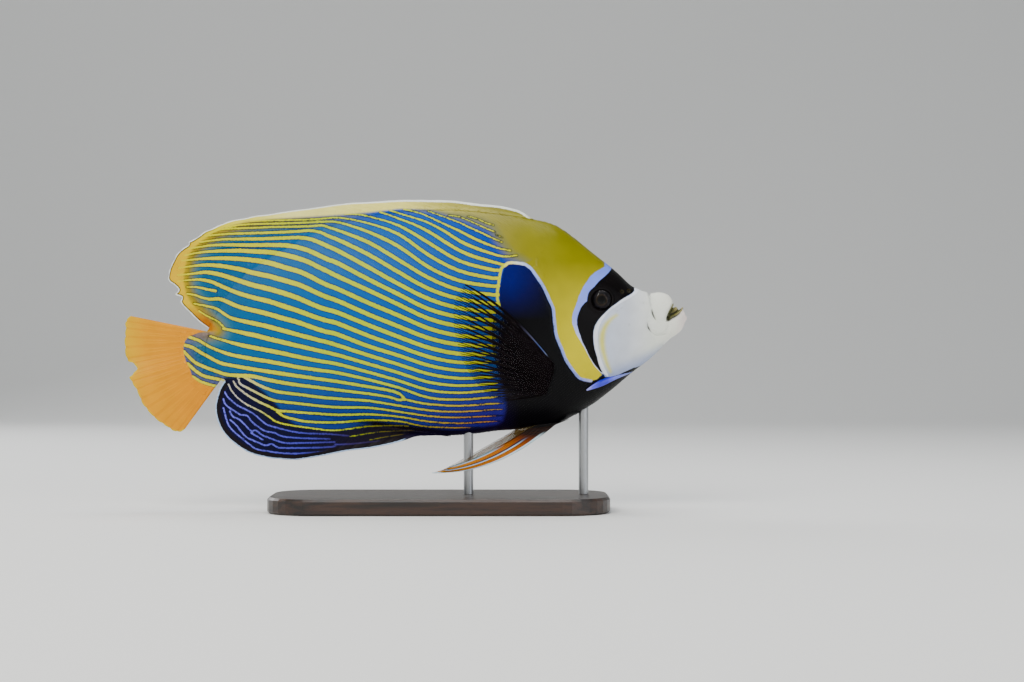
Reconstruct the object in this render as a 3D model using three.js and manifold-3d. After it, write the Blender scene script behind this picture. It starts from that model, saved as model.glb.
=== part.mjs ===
// An emperor angelfish as a still, life-size display model on a plain stand.
// Millimetres, +Z up, the fish faces +X and its right side faces -Y.
// Outlines are pairs in hundredths of the total length: the first counts from the rear of the
// tail fin to the lower lip, the second up from the middle line of the tail stalk.
import * as THREE from "three";
import { mergeVertices } from "three/addons/utils/BufferGeometryUtils.js";
import Module from "manifold-3d";

const wasm = await Module();
wasm.setup();

// Driving dimensions
const totalLength = 348;
const unit = totalLength / 100;
const middleLength = 50.05;
const gap = 0.3;

// Cutting shapes reach this far sideways in millimetres, and this far ahead, up and down in hundredths
const farSide = 60;
const farAhead = 130;
const farUp = 60;

// Stand: a flat base and two upright rods
const baseLength = 210;
const baseWidth = 96;
const baseThickness = 10;
const baseCorner = 30;
const baseBevel = 1.5;
const baseCentre = 22;
const rodRadius = 3;
const rodSides = 20;
const rodSink = 7;
const rodPlaces = { front: 82, rear: 61.5 };
const finClearance = 12;
const lowestFin = 24.6;
const axisHeight = baseThickness + finClearance + lowestFin * unit;

// Body outline, from the tail stalk to the lips
const backLine = profile([
  [13.5, 0.7], [15.1, 1.2], [16.2, 3.4], [17.6, 6.4], [20.4, 10.3], [24.7, 13.6], [29.7, 16.6],
  [35, 19.3], [42.2, 21.4], [49.3, 22.4], [58.2, 22.7], [67.1, 21.9], [73.5, 20.9], [76.9, 20],
  [79.6, 18.3], [83.2, 15.4], [86.5, 12.8], [88.5, 11.1], [90.4, 9.3], [92, 8.5], [94, 7.9],
  [95.8, 7.8], [97.1, 7.2], [98, 5.9], [99, 5.5], [99.7, 4.8], [100.1, 3.8],
]);
const bellyLine = profile([
  [13.5, -6.9], [17.7, -7.8], [20.1, -8.6], [22.5, -9.7], [26.1, -11.5], [31.5, -13.5],
  [38.6, -15.1], [45.7, -16], [52.9, -16.9], [59.1, -17.5], [67.1, -16.7], [72.5, -16.3],
  [76, -15.9], [79.6, -14.4], [83.2, -12.3], [87.1, -9.4], [90.6, -6.4], [93.9, -3.9],
  [95.8, -2.1], [97.4, -0.4], [98.7, 0.5], [99.6, 1.7], [100.1, 2.9],
]);
const axisLine = profile([[13.5, -3.2], [20, -1], [30, 1.5], [50, 3], [70, 3.4], [84, 3], [100.1, 3.3]]);

// Half widths of the body, its ridges along back and belly, and how round its sections are
const bodyWidth = profile([
  [13.5, 0.85], [17, 1.2], [20, 1.7], [24, 2.4], [30, 3.5], [40, 5.1], [50, 6.3], [60, 7],
  [70, 7.3], [78, 7], [84, 6.1], [88, 5], [92, 3.7], [95, 2.95], [97, 2.5], [99, 1.8], [100.1, 0.8],
]);
const backRim = profile([[13.5, 0.5], [18, 0.75], [40, 0.85], [68, 0.8], [75, 0.35], [100.1, 0.25]]);
const bellyRim = profile([[13.5, 0.5], [18, 0.7], [40, 0.8], [57, 0.75], [62, 0.4], [100.1, 0.25]]);
const backRound = profile([[13.5, 0.6], [25, 0.9], [60, 0.88], [76, 0.68], [88, 0.55], [100.1, 0.5]]);
const bellyRound = profile([[13.5, 0.6], [25, 0.9], [55, 0.8], [66, 0.6], [88, 0.52], [100.1, 0.5]]);

// Where the sections of the body stand: from, up to, and how far apart, then the last one at the lips
const sectionSpans = [[13.5, 24, 1.75], [24, 72, 4], [72, 94, 2.4], [94, 100, 1]];
const lipsEnd = 100.1;
const sectionPoints = 16;
const leastHalf = 0.4;

// Lines where the body parts: behind the gills, before the tail stalk and at the tail fin's root
const gillLine = [
  [75.8, 26], [75.5, 21], [74.4, 16.5], [74, 12], [74.6, 8.8], [76, 5.6], [76.8, 3], [77.3, 0.2],
  [78, -2.3], [79.4, -4.6], [81.2, -6.4], [83.5, -7.8], [85.9, -9.3], [87.3, -11.5], [88.4, -15],
];
const stalkLine = [[19.8, 20], [20.3, 11], [20.1, 5], [20.1, -3], [21, -9], [21.8, -20]];
const tailLine = [[15.6, 6], [14.9, 1], [14.2, -1.4], [14.3, -3.7], [15.4, -6.1], [17.4, -7.9], [18, -12]];

// Gill cover, eye, nostrils and cheek spine
const gillCover = [
  [75.5, 8], [76.2, 5.6], [76.9, 3], [77.5, 0.2], [78.2, -2.2], [79.5, -4.4], [81.3, -6.2],
  [83.4, -7.4], [84.7, -7.3], [85.1, -6.4], [84.5, -4.9], [83.9, -3], [83.6, -0.9], [83.6, 1.2],
  [83.2, 3.2], [82, 4.9], [80.2, 6.5], [78.3, 7.8], [76.6, 8.7],
];
const gillCoverRise = 0.6;
const gillCoverDepth = 1.6;
const gillCoverInside = -2;
const eyePlace = [85, 6.5];
const eyeRadius = 6.6;
const eyeDepth = 4.4;
const eyeSink = 2;
const eyeSides = 16;
const rimRadius = 6.5;
const rimThickness = 0.8;
const rimSink = 0.1;
const rimSides = [6, 22];
const nostrils = [[88.7, 8], [89.9, 8.2]];
const nostrilRadius = 0.9;
const nostrilSink = 0.2;
const nostrilSides = 7;
const cheekSpine = [[89.4, -6], [87.4, -6.9], [85.2, -7.9], [82.6, -9.2]];
const cheekSpineRadius = [1.5, 1.7, 1.2, 0.35];
const cheekSpineRise = 0.9;
const cheekSpineSides = 8;
const cheekSpineSteps = 5;

// Jaws, lips and teeth
const upperJaw = [
  [93.8, 9.5], [98.6, 8.6], [98.8, 6], [97.9, 5.7], [97.5, 5.1], [97.1, 4.4], [96.8, 3.6],
  [96.6, 3], [96.6, 2.1], [96.2, 1.2], [95.5, 0.6], [94.6, 0.6], [93.8, 1.2], [93.3, 2],
  [93.4, 2.9], [93.9, 3.8], [93.8, 5.3], [93.6, 7],
];
const lowerJaw = [
  [99.6, 5.3], [101.5, 4], [101.5, -1], [97, -3.5], [95.7, -2.6], [95.9, -0.7], [96.3, 0.5],
  [96.8, 1.6], [97, 2.9], [97.9, 3.4], [99, 4.3],
];
const mouthGap = [[96.2, 2.8], [97.2, 2.7], [101, 5], [101, 6.5], [98, 6.3], [96.6, 4]];
const upperLip = [[96.9, -2.25, 3.5], [97.3, -2, 4.7], [97.6, -1.2, 5.6], [97.7, 0, 6]];
const lowerLip = [[97, -2.2, 2.6], [98, -1.9, 3.1], [99.1, -1.2, 4], [99.5, 0, 4.5]];
const lipRadius = 1.5;
const behindLowerLip = [
  [96.8, 12], [97, 4], [97, 2.9], [96.8, 1.6], [96.3, 0.5], [95.9, -0.7], [95.4, -9],
];
const toothCount = 9;
const toothRadius = 0.6;
const toothTipRadius = 0.25;
const toothSpan = 1.7;
const toothRootDepth = 0.8;
const toothSides = 4;
const toothRowStep = [0.5, 0.25];
const toothRowNarrowing = 0.15;
const cornerShortening = 0.3;
const upperTeeth = {
  front: [97.5, 5.3],
  back: [0.9, 2.2],
  lean: 0.5,
  direction: -1,
  length: 2.6,
  rows: 1,
};
const lowerTeeth = {
  front: [99.2, 4.2],
  back: [1.9, 1.2],
  lean: -0.25,
  direction: 1,
  length: 3.6,
  rows: 2,
};

// How all fins thin out towards the edge, how their rays flatten, and each ray's foot in its share
const finThinning = 1.6;
const ridgeFlattening = 0.55;
const rayFoot = 0.27;

// The web between two rays stops a little short of their tips
const webShare = 0.985;

// Fins: root and edge lines, both from the leading ray to the last one
const dorsalRoot = [
  73.2, 69.8, 64.4, 58.2, 51.1, 43.9, 36.8, 30.6, 25.8, 21.8, 19.2, 17.8, 16.9, 16.2,
];
const dorsalFin = {
  root: onLine(backLine, gap, dorsalRoot),
  edge: [
    [73, 21.1], [67.6, 23.4], [60.3, 24.2], [52.5, 24.4], [44.3, 24], [35.9, 23.3], [27.5, 22.1],
    [19.5, 20.7], [13.3, 17.8], [9.2, 14.6], [8, 10.9], [10.2, 7.1], [12.2, 4.4], [14.7, 2.9],
  ],
  rays: 34,
  rows: 3,
  rootHalf: 2.7,
  edgeHalf: 0.42,
  ridge: 0.42,
  sway: 1.6,
};
const analFin = {
  root: onLine(bellyLine, -gap, [58.6, 53.7, 48.4, 43, 37.7, 32.9, 28.8, 25.4, 22.9, 20.9, 19.3]),
  edge: [
    [57, -17.6], [50.2, -18.3], [43.9, -19.6], [37.7, -20.7], [32, -21.6], [26.5, -21.5],
    [21.6, -19.8], [17.9, -16.9], [16.6, -13.4], [16.8, -10.6], [18.2, -8.8],
  ],
  rays: 23,
  rows: 3,
  rootHalf: 2.5,
  edgeHalf: 0.42,
  ridge: 0.42,
  sway: -1.4,
};
const tailFin = {
  root: [[14.8, 1], [14.15, -1.4], [14.2, -3.7], [15.25, -6], [17.2, -7.85]],
  edge: [
    [1.4, 3.8], [0.1, 2.2], [0, -0.5], [0.4, -4.2], [2.5, -5.4], [1.2, -7.3], [2.6, -9.6],
    [4.4, -12.5], [6.5, -14.8], [8.5, -16.4], [10.6, -16.7],
  ],
  rays: 17,
  rows: 4,
  rootHalf: 2.4,
  edgeHalf: 0.42,
  ridge: 0.45,
  sway: 3.5,
};
const pectoralFin = {
  root: [[76.1, -4.2], [75.9, -5.8], [75.6, -7.3], [75.2, -8.8], [74.8, -10.2]],
  edge: [
    [61, 9.2], [59.4, 6.8], [59, 3], [59.5, -0.5], [60.6, -4], [62.2, -7], [64.6, -9.6], [67.6, -11.3],
  ],
  rays: 15,
  rows: 3,
  rootHalf: 1.3,
  edgeHalf: 0.4,
  ridge: 0.32,
  spread: 16,
  opening: 1.1,
  rootGap: 2 * gap,
};
const pelvicFin = {
  root: onLine(bellyLine, 0, [76.9, 75.2, 73.4, 71.6, 70]),
  edge: [[54.7, -24.5], [57.6, -23.4], [61.4, -21.4], [65.4, -19.2], [69, -17.2]],
  rays: 6,
  rows: 5,
  rootHalf: 1.5,
  edgeHalf: 0.45,
  ridge: 0.5,
  bow: 2.8,
  rootOffset: 4.6,
  rootSink: 1.5 * gap,
  spread: 10,
};
const rightPelvicScale = 0.93;

// Colours of the surfaces, as painted on the model
const paint = {
  face: ["#C8CDD5", 0.45],
  lips: ["#D8DAD5", 0.45],
  mask: ["#0A0608", 0.5],
  spine: ["#2A3BE0", 0.4],
  eye: ["#08070B", 0.12],
  flank: ["#1478C8", 0.45],
  stalk: ["#0A78A8", 0.45],
  dorsal: ["#D8C820", 0.5],
  anal: ["#06063C", 0.5],
  tail: ["#F8B400", 0.5],
  pectoral: ["#14142C", 0.4],
  pelvic: ["#C8780A", 0.5],
  wood: ["#1C1613", 0.5],
};
const steel = new THREE.MeshStandardMaterial({ color: "#B8BABC", roughness: 0.3, metalness: 1 });

// A smooth function through a few pairs
function profile(pairs) {
  const places = new Float32Array(pairs.map((pair) => pair[0]));
  const values = new Float32Array(pairs.map((pair) => pair[1]));
  const curve = new THREE.CubicInterpolant(places, values, 1, new Float32Array(1));
  return (place) => curve.evaluate(place)[0];
}

// From hundredths of the length to millimetres
function across(u) {
  return (u - middleLength) * unit;
}

function up(v) {
  return axisHeight + v * unit;
}

// Points of an outline at a few places, moved off it by a distance in millimetres
function onLine(line, distance, places) {
  return moved(places.map((u) => [u, line(u)]), -distance, false);
}

// Half width of the body at an angle round its section, which is 90 degrees at the back
function sectionHalf(u, angle) {
  const upper = angle >= 0;
  const rim = upper ? backRim(u) : bellyRim(u);
  const roundness = upper ? backRound(u) : bellyRound(u);
  return rim + (bodyWidth(u) - rim) * Math.pow(Math.cos(angle) ** 2, roundness);
}

// Half width of the body at a point of its side view
function flank(u, v) {
  const limit = v >= axisLine(u) ? backLine(u) : bellyLine(u);
  const share = (v - axisLine(u)) / Math.abs(limit - axisLine(u));
  return sectionHalf(u, Math.asin(THREE.MathUtils.clamp(share, -1, 1)));
}

// Height of the belly's skin at a distance from the middle plane
function bellySkin(u, y) {
  const rim = bellyRim(u);
  const share = Math.max(0, Math.abs(y) / unit - rim) / (bodyWidth(u) - rim);
  const rise = Math.sqrt(1 - share ** (1 / bellyRound(u)));
  return up(axisLine(u) + (bellyLine(u) - axisLine(u)) * rise);
}

// A closed solid from a grid of points, with two faces split into triangles alike
function leaf(columns, rows, place) {
  const points = [];
  const faces = [];
  const deep = rows.length;
  const sheet = columns.length * deep;
  for (const side of [-1, 1]) {
    for (const s of columns) {
      for (const t of rows) {
        points.push(...place(s, t, side));
      }
    }
  }
  const quad = (a, b, c, d) => faces.push(a, b, c, a, c, d);
  for (let i = 0; i + 1 < columns.length; i++) {
    for (let j = 0; j + 1 < deep; j++) {
      const a = i * deep + j;
      const b = a + deep;
      faces.push(a, b, b + 1, a, b + 1, a + 1);
      faces.push(sheet + a, sheet + b + 1, sheet + b, sheet + a, sheet + a + 1, sheet + b + 1);
    }
  }
  for (let i = 0; i + 1 < columns.length; i++) {
    const first = i * deep;
    const last = first + deep - 1;
    quad(first, sheet + first, sheet + first + deep, first + deep);
    quad(last, last + deep, sheet + last + deep, sheet + last);
  }
  const end = (columns.length - 1) * deep;
  for (let j = 0; j + 1 < deep; j++) {
    quad(j, j + 1, sheet + j + 1, sheet + j);
    quad(end + j, sheet + end + j, sheet + end + j + 1, end + j + 1);
  }
  const geometry = new THREE.BufferGeometry();
  geometry.setAttribute("position", new THREE.Float32BufferAttribute(points, 3));
  geometry.setIndex(faces);
  return toSolid(geometry);
}

// A closed geometry becomes a solid with its faces pointing out
function toSolid(source) {
  let geometry = source.clone();
  geometry.deleteAttribute("normal");
  geometry.deleteAttribute("uv");
  geometry = mergeVertices(geometry, 1e-4);
  const corners = geometry.index.array;
  const kept = [];
  for (let i = 0; i < corners.length; i += 3) {
    const [a, b, c] = [corners[i], corners[i + 1], corners[i + 2]];
    if (a !== b && b !== c && c !== a) {
      kept.push(a, b, c);
    }
  }
  if (enclosed(geometry.attributes.position, kept) < 0) {
    kept.reverse();
  }
  const mesh = new wasm.Mesh({
    numProp: 3,
    vertProperties: new Float32Array(geometry.attributes.position.array),
    triVerts: new Uint32Array(kept),
  });
  return new wasm.Manifold(mesh);
}

function enclosed(position, corners) {
  const [a, b, c] = [new THREE.Vector3(), new THREE.Vector3(), new THREE.Vector3()];
  let total = 0;
  for (let i = 0; i < corners.length; i += 3) {
    a.fromBufferAttribute(position, corners[i]);
    b.fromBufferAttribute(position, corners[i + 1]);
    c.fromBufferAttribute(position, corners[i + 2]);
    total += a.dot(b.cross(c)) / 6;
  }
  return total;
}

// The largest closed body of a solid, as a geometry
function toGeometry(solid) {
  const bodies = solid.decompose().sort((one, other) => other.volume() - one.volume());
  const mesh = bodies[0].getMesh();
  const geometry = new THREE.BufferGeometry();
  geometry.setAttribute("position", new THREE.Float32BufferAttribute(mesh.vertProperties, 3));
  geometry.setIndex(Array.from(mesh.triVerts));
  geometry.computeVertexNormals();
  return geometry;
}

function evenly(count) {
  return Array.from({ length: count + 1 }, (_, i) => i / count);
}

// The whole body as one solid, grown or shrunk by an offset in millimetres
function flesh(offset) {
  const grow = offset / unit;
  const stations = [];
  for (const [from, to, step] of sectionSpans) {
    for (let u = from; u < to; u += step) {
      stations.push(u);
    }
  }
  stations.push(lipsEnd);
  return leaf(stations, evenly(sectionPoints), (u, t, side) => {
    const angle = Math.PI * (0.5 - t);
    const limit = angle >= 0 ? backLine(u) + grow : bellyLine(u) - grow;
    const reach = Math.abs(limit - axisLine(u));
    const end = u === stations[0] ? -offset : u === lipsEnd ? offset : 0;
    const half = Math.max(leastHalf, sectionHalf(u, angle) * unit + offset);
    return [across(u) + end, side * half, up(axisLine(u) + reach * Math.sin(angle))];
  });
}

// A line of points moved sideways by a distance in millimetres
function moved(points, distance, closed) {
  const last = points.length - 1;
  return points.map((point, i) => {
    const before = points[i > 0 ? i - 1 : closed ? last : 0];
    const after = points[i < last ? i + 1 : closed ? 0 : last];
    const along = new THREE.Vector2(after[0] - before[0], after[1] - before[1]).normalize();
    return [point[0] - (along.y * distance) / unit, point[1] + (along.x * distance) / unit];
  });
}

// An outline of the side view, extruded from one width to another
function prism(outline, from, to) {
  const shape = new THREE.Shape(outline.map(([u, v]) => new THREE.Vector2(across(u), up(v))));
  const geometry = new THREE.ExtrudeGeometry(shape, { depth: to - from, bevelEnabled: false });
  geometry.rotateX(Math.PI / 2);
  geometry.translate(0, to, 0);
  return toSolid(geometry);
}

function throughout(outline) {
  return prism(outline, -farSide, farSide);
}

// Everything in front of a line that runs from top to bottom
function inFront(line, distance) {
  return throughout([...moved(line, distance, false), [farAhead, -farUp], [farAhead, farUp]]);
}

// A closed outline, grown by a distance
function grown(outline, distance) {
  const clockwise = THREE.ShapeUtils.isClockWise(outline.map((pair) => new THREE.Vector2(...pair)));
  return moved(outline, clockwise ? distance : -distance, true);
}

function ellipsoid(radius, depth, sides) {
  const rings = Math.round(0.6 * sides);
  const geometry = new THREE.SphereGeometry(1, sides, rings);
  geometry.scale(radius, radius, depth);
  return geometry;
}

// Places a geometry, made along +Z, on the right flank so that +Z points out of the skin
function onFlank(geometry, u, v, sink) {
  const step = 0.5;
  const slopeU = (flank(u + step, v) - flank(u - step, v)) / (2 * step);
  const slopeV = (flank(u, v + step) - flank(u, v - step)) / (2 * step);
  const outward = new THREE.Vector3(-slopeU, -1, -slopeV).normalize();
  const place = new THREE.Vector3(across(u), -flank(u, v) * unit, up(v));
  place.addScaledVector(outward, -sink);
  const turn = new THREE.Quaternion().setFromUnitVectors(new THREE.Vector3(0, 0, 1), outward);
  return toSolid(geometry.clone().applyQuaternion(turn).translate(place.x, place.y, place.z));
}

function mirrored(solid) {
  return solid.mirror([0, 1, 0]);
}

// A tapering spike with a ring of sides at each point
function spike(points, radii, sides, steps) {
  const curve = new THREE.CatmullRomCurve3(points);
  const frames = curve.computeFrenetFrames(steps, false);
  const positions = [];
  const faces = [];
  for (let i = 0; i <= steps; i++) {
    const centre = curve.getPointAt(i / steps);
    const share = (i / steps) * (radii.length - 1);
    const low = Math.min(Math.floor(share), radii.length - 2);
    const radius = THREE.MathUtils.lerp(radii[low], radii[low + 1], share - low);
    for (let k = 0; k < sides; k++) {
      const angle = (2 * Math.PI * k) / sides;
      const corner = centre.clone();
      corner.addScaledVector(frames.normals[i], radius * Math.cos(angle));
      corner.addScaledVector(frames.binormals[i], radius * Math.sin(angle));
      positions.push(corner.x, corner.y, corner.z);
    }
  }
  for (let i = 0; i < steps; i++) {
    for (let k = 0; k < sides; k++) {
      const a = i * sides + k;
      const b = i * sides + ((k + 1) % sides);
      faces.push(a, b, b + sides, a, b + sides, a + sides);
    }
  }
  const endRing = steps * sides;
  for (let k = 1; k + 1 < sides; k++) {
    faces.push(0, k + 1, k, endRing, endRing + k, endRing + k + 1);
  }
  const geometry = new THREE.BufferGeometry();
  geometry.setAttribute("position", new THREE.Float32BufferAttribute(positions, 3));
  geometry.setIndex(faces);
  return toSolid(geometry);
}

// A round lip from one corner of the mouth to the other
function lip(points, radius) {
  const half = points.map(([u, y, v]) => new THREE.Vector3(across(u), y * unit, up(v)));
  const opposite = (point) => new THREE.Vector3(point.x, -point.y, point.z);
  const path = new THREE.CatmullRomCurve3([...half, ...half.slice(0, -1).reverse().map(opposite)]);
  const shape = new THREE.Shape();
  shape.absarc(0, 0, radius, 0, 2 * Math.PI, false);
  return toSolid(new THREE.ExtrudeGeometry(shape, { steps: 12, curveSegments: 4, extrudePath: path }));
}

// Bristle-like teeth in rows round the front of a jaw
function teeth({ front, back, lean, direction, length, rows }) {
  const set = [];
  for (let row = 0; row < rows; row++) {
    for (let i = 0; i < toothCount; i++) {
      const side = (2 * i) / (toothCount - 1) - 1;
      const u = front[0] - back[0] * side * side - toothRowStep[0] * row;
      const v = front[1] - back[1] * side * side - toothRowStep[1] * row;
      const y = toothSpan * side * (1 - toothRowNarrowing * row) * unit;
      const root = new THREE.Vector3(across(u), y, up(v) - direction * toothRootDepth);
      const along = new THREE.Vector3(lean, 0, direction).normalize();
      const tip = root.clone().addScaledVector(along, length * (1 - cornerShortening * side * side));
      const middle = root.clone().lerp(tip, 0.5);
      const radii = [toothRadius, toothRadius, toothTipRadius];
      set.push(spike([root, middle, tip], radii, toothSides, 2));
    }
  }
  return set.reduce((all, tooth) => all.add(tooth));
}

// Columns of a fin: each ray has its crest and a foot on both sides
function rayColumns(rays) {
  const columns = [0];
  for (let ray = 0; ray < rays; ray++) {
    const crest = (ray + 0.5) / rays;
    columns.push(crest - rayFoot / rays, crest, crest + rayFoot / rays);
  }
  columns.push(1);
  return columns;
}

// A thin fin with its rays raised in both faces. Sideways, bend(place, s, t, half) gives its middle,
// and seat(u, y), if any, the height of the skin that its root stands on
function fin(form, bend, seat) {
  const root = new THREE.SplineCurve(form.root.map((pair) => new THREE.Vector2(...pair)));
  const edge = new THREE.SplineCurve(form.edge.map((pair) => new THREE.Vector2(...pair)));
  const columns = rayColumns(form.rays);
  return leaf(columns, evenly(form.rows), (s, t, side) => {
    const crest = (columns.indexOf(s) - 2) % 3 === 0;
    const place = root.getPoint(s).lerp(edge.getPoint(s), crest || t < 1 ? t : webShare);
    const bow = (form.bow || 0) * 4 * t * (1 - t) * (1 - s);
    const rise = crest && t > 0 ? form.ridge * (1 - ridgeFlattening * t) : 0;
    const web = form.edgeHalf + (form.rootHalf - form.edgeHalf) * (1 - t) ** finThinning;
    const half = web + rise;
    const y = bend(place, s, t, half) + side * half;
    const height = seat && t === 0 ? seat(place.x, y) : up(place.y - bow);
    return [across(place.x), y, height];
  });
}

const group = new THREE.Group();

function place(name, solid, [color, roughness]) {
  const material = new THREE.MeshStandardMaterial({ color, roughness, metalness: 0 });
  const mesh = new THREE.Mesh(toGeometry(solid), material);
  mesh.name = name;
  group.add(mesh);
}

// The two sides of a paired piece
function placePair(name, right, left, look) {
  place(`${name}_right`, right, look);
  place(`${name}_left`, left, look);
}

const body = flesh(0);
const bodyWithGap = flesh(gap);

// Cut-outs that the head gives way to
const coverBed = flesh(-gillCoverDepth - gap);
const coverRoom = prism(grown(gillCover, gap), -farSide, gillCoverInside).subtract(coverBed);
const socket = onFlank(ellipsoid(eyeRadius + gap, eyeDepth + gap, eyeSides), ...eyePlace, eyeSink);
const pitShape = ellipsoid(nostrilRadius, nostrilRadius, nostrilSides);
const nostrilPits = nostrils.map((spot) => onFlank(pitShape, ...spot, nostrilSink));
const rimShape = new THREE.TorusGeometry(rimRadius, rimThickness, ...rimSides);
const eyeRim = onFlank(rimShape, ...eyePlace, rimSink);

function makeHead() {
  let head = body.intersect(inFront(gillLine, gap / 2));
  head = head.add(eyeRim).add(mirrored(eyeRim));
  for (const pit of [coverRoom, socket, ...nostrilPits]) {
    head = head.subtract(pit).subtract(mirrored(pit));
  }
  for (const outline of [upperJaw, lowerJaw, mouthGap]) {
    head = head.subtract(throughout(grown(outline, gap)));
  }
  return head;
}

function makeTorso() {
  let torso = body.subtract(inFront(gillLine, -gap / 2)).intersect(inFront(stalkLine, gap / 2));
  torso = torso.subtract(coverRoom).subtract(mirrored(coverRoom));
  return torso.subtract(rod("front", gap)).subtract(rod("rear", gap));
}

function makeStalk() {
  return body.subtract(inFront(stalkLine, -gap / 2)).intersect(inFront(tailLine, 0));
}

function makeGillCover() {
  const shell = flesh(gillCoverRise).subtract(flesh(-gillCoverDepth));
  return shell.intersect(prism(gillCover, -farSide, gillCoverInside));
}

function makeCheekSpine() {
  const points = cheekSpine.map(([u, v]) => {
    const y = -flank(u, v) * unit - cheekSpineRise;
    return new THREE.Vector3(across(u), y, up(v));
  });
  const raisedCover = flesh(gillCoverRise + gap).intersect(prism(grown(gillCover, gap), -farSide, 0));
  const blade = spike(points, cheekSpineRadius, cheekSpineSides, cheekSpineSteps);
  return blade.subtract(bodyWithGap).subtract(raisedCover);
}

function makeUpperJaw() {
  const core = body.intersect(throughout(upperJaw)).add(lip(upperLip, lipRadius)).add(teeth(upperTeeth));
  const lowerRoom = throughout(grown(lowerJaw, gap)).add(lip(lowerLip, lipRadius + gap));
  return core.subtract(lowerRoom);
}

function makeLowerJaw() {
  const brim = lip(lowerLip, lipRadius).add(teeth(lowerTeeth));
  return body.intersect(throughout(lowerJaw)).add(brim.intersect(inFront(behindLowerLip, 0)));
}

function makePectoral() {
  return fin(pectoralFin, (place, s, t, half) => {
    const skin = flank(place.x, place.y) * unit + pectoralFin.rootGap;
    return -skin - half - pectoralFin.spread * t ** pectoralFin.opening;
  });
}

function makePelvic(scale) {
  const tipward = ([u, v], i) => {
    const [rootU, rootV] = pelvicFin.root[i];
    return [rootU + (u - rootU) * scale, rootV + (v - rootV) * scale];
  };
  const form = { ...pelvicFin, edge: pelvicFin.edge.map(tipward) };
  const outward = (place, s, t) => -pelvicFin.rootOffset - pelvicFin.spread * t;
  return fin(form, outward, (u, y) => bellySkin(u, y) - pelvicFin.rootSink);
}

function sway(form) {
  return (place, s, t) => form.sway * Math.sin(2.5 * Math.PI * s) * t * t;
}

function rod(name, extra) {
  const u = rodPlaces[name];
  const top = up(bellyLine(u)) + rodSink + extra;
  const bottom = baseThickness + gap - extra;
  const radius = rodRadius + extra;
  const geometry = new THREE.CylinderGeometry(radius, radius, top - bottom, rodSides);
  geometry.rotateX(Math.PI / 2);
  geometry.translate(across(u), 0, (top + bottom) / 2);
  return toSolid(geometry);
}

function makeBase() {
  const [x, y] = [baseLength / 2 - baseCorner, baseWidth / 2 - baseCorner];
  const shape = new THREE.Shape();
  const radius = baseCorner - baseBevel;
  shape.absarc(x, y, radius, 0, Math.PI / 2, false);
  shape.absarc(-x, y, radius, Math.PI / 2, Math.PI, false);
  shape.absarc(-x, -y, radius, Math.PI, 1.5 * Math.PI, false);
  shape.absarc(x, -y, radius, 1.5 * Math.PI, 2 * Math.PI, false);
  const geometry = new THREE.ExtrudeGeometry(shape, {
    depth: baseThickness - 2 * baseBevel,
    bevelThickness: baseBevel,
    bevelSize: baseBevel,
    bevelSegments: 1,
    curveSegments: 4,
  });
  return toSolid(geometry.translate(baseCentre, 0, baseBevel));
}

place("head", makeHead(), paint.face);
place("upper_jaw", makeUpperJaw(), paint.lips);
place("lower_jaw", makeLowerJaw(), paint.lips);
place("torso", makeTorso(), paint.flank);
place("tail_stalk", makeStalk(), paint.stalk);

const cover = makeGillCover();
placePair("gill_cover", cover, mirrored(cover), paint.mask);
const spine = makeCheekSpine();
placePair("cheek_spine", spine, mirrored(spine), paint.spine);
const eye = onFlank(ellipsoid(eyeRadius, eyeDepth, eyeSides), ...eyePlace, eyeSink);
placePair("eye", eye, mirrored(eye), paint.eye);

place("dorsal_fin", fin(dorsalFin, sway(dorsalFin)), paint.dorsal);
place("anal_fin", fin(analFin, sway(analFin)), paint.anal);
place("tail_fin", fin(tailFin, sway(tailFin)), paint.tail);
const pectoral = makePectoral();
placePair("pectoral_fin", pectoral, mirrored(pectoral), paint.pectoral);
placePair("pelvic_fin", makePelvic(rightPelvicScale), mirrored(makePelvic(1)), paint.pelvic);

place("stand_base", makeBase(), paint.wood);
for (const name of Object.keys(rodPlaces)) {
  const mesh = new THREE.Mesh(toGeometry(rod(name, 0)), steel);
  mesh.name = `stand_rod_${name}`;
  group.add(mesh);
}

export default group;
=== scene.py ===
import math

import bmesh
import bpy
import numpy as np
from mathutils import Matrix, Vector
from mathutils.bvhtree import BVHTree


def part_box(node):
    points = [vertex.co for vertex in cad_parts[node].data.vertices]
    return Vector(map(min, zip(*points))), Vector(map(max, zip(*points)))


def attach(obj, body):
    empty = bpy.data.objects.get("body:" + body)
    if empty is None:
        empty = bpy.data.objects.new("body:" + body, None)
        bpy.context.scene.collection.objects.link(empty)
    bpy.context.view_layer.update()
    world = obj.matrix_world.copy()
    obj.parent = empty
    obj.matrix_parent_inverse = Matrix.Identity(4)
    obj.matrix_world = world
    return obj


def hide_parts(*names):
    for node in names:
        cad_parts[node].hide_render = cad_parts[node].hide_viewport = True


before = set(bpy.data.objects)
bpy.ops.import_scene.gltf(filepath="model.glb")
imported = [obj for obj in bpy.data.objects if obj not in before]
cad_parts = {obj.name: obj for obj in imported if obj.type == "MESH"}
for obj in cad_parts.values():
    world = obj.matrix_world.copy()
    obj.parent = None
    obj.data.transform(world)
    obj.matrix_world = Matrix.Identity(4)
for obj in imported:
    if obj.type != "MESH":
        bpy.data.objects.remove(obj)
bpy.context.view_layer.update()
print("frame loaded")

# Sizes shared by every piece
mm = 0.001
totalLength = 348 * mm
unit = totalLength / 100
middleLength = 50.05
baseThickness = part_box("stand_base")[1].z
finClearance = 12 * mm
lowestFin = 24.6
axisHeight = baseThickness + finClearance + lowestFin * unit
picture = {"width": 1024, "height": 682, "tail": 123.5, "axis": 337.0, "pixelsPerUnit": 5.61}
pixel = unit / picture["pixelsPerUnit"]


def across(u):
    return (np.asarray(u, float) - middleLength) * unit


def up(v):
    return axisHeight + np.asarray(v, float) * unit


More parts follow.
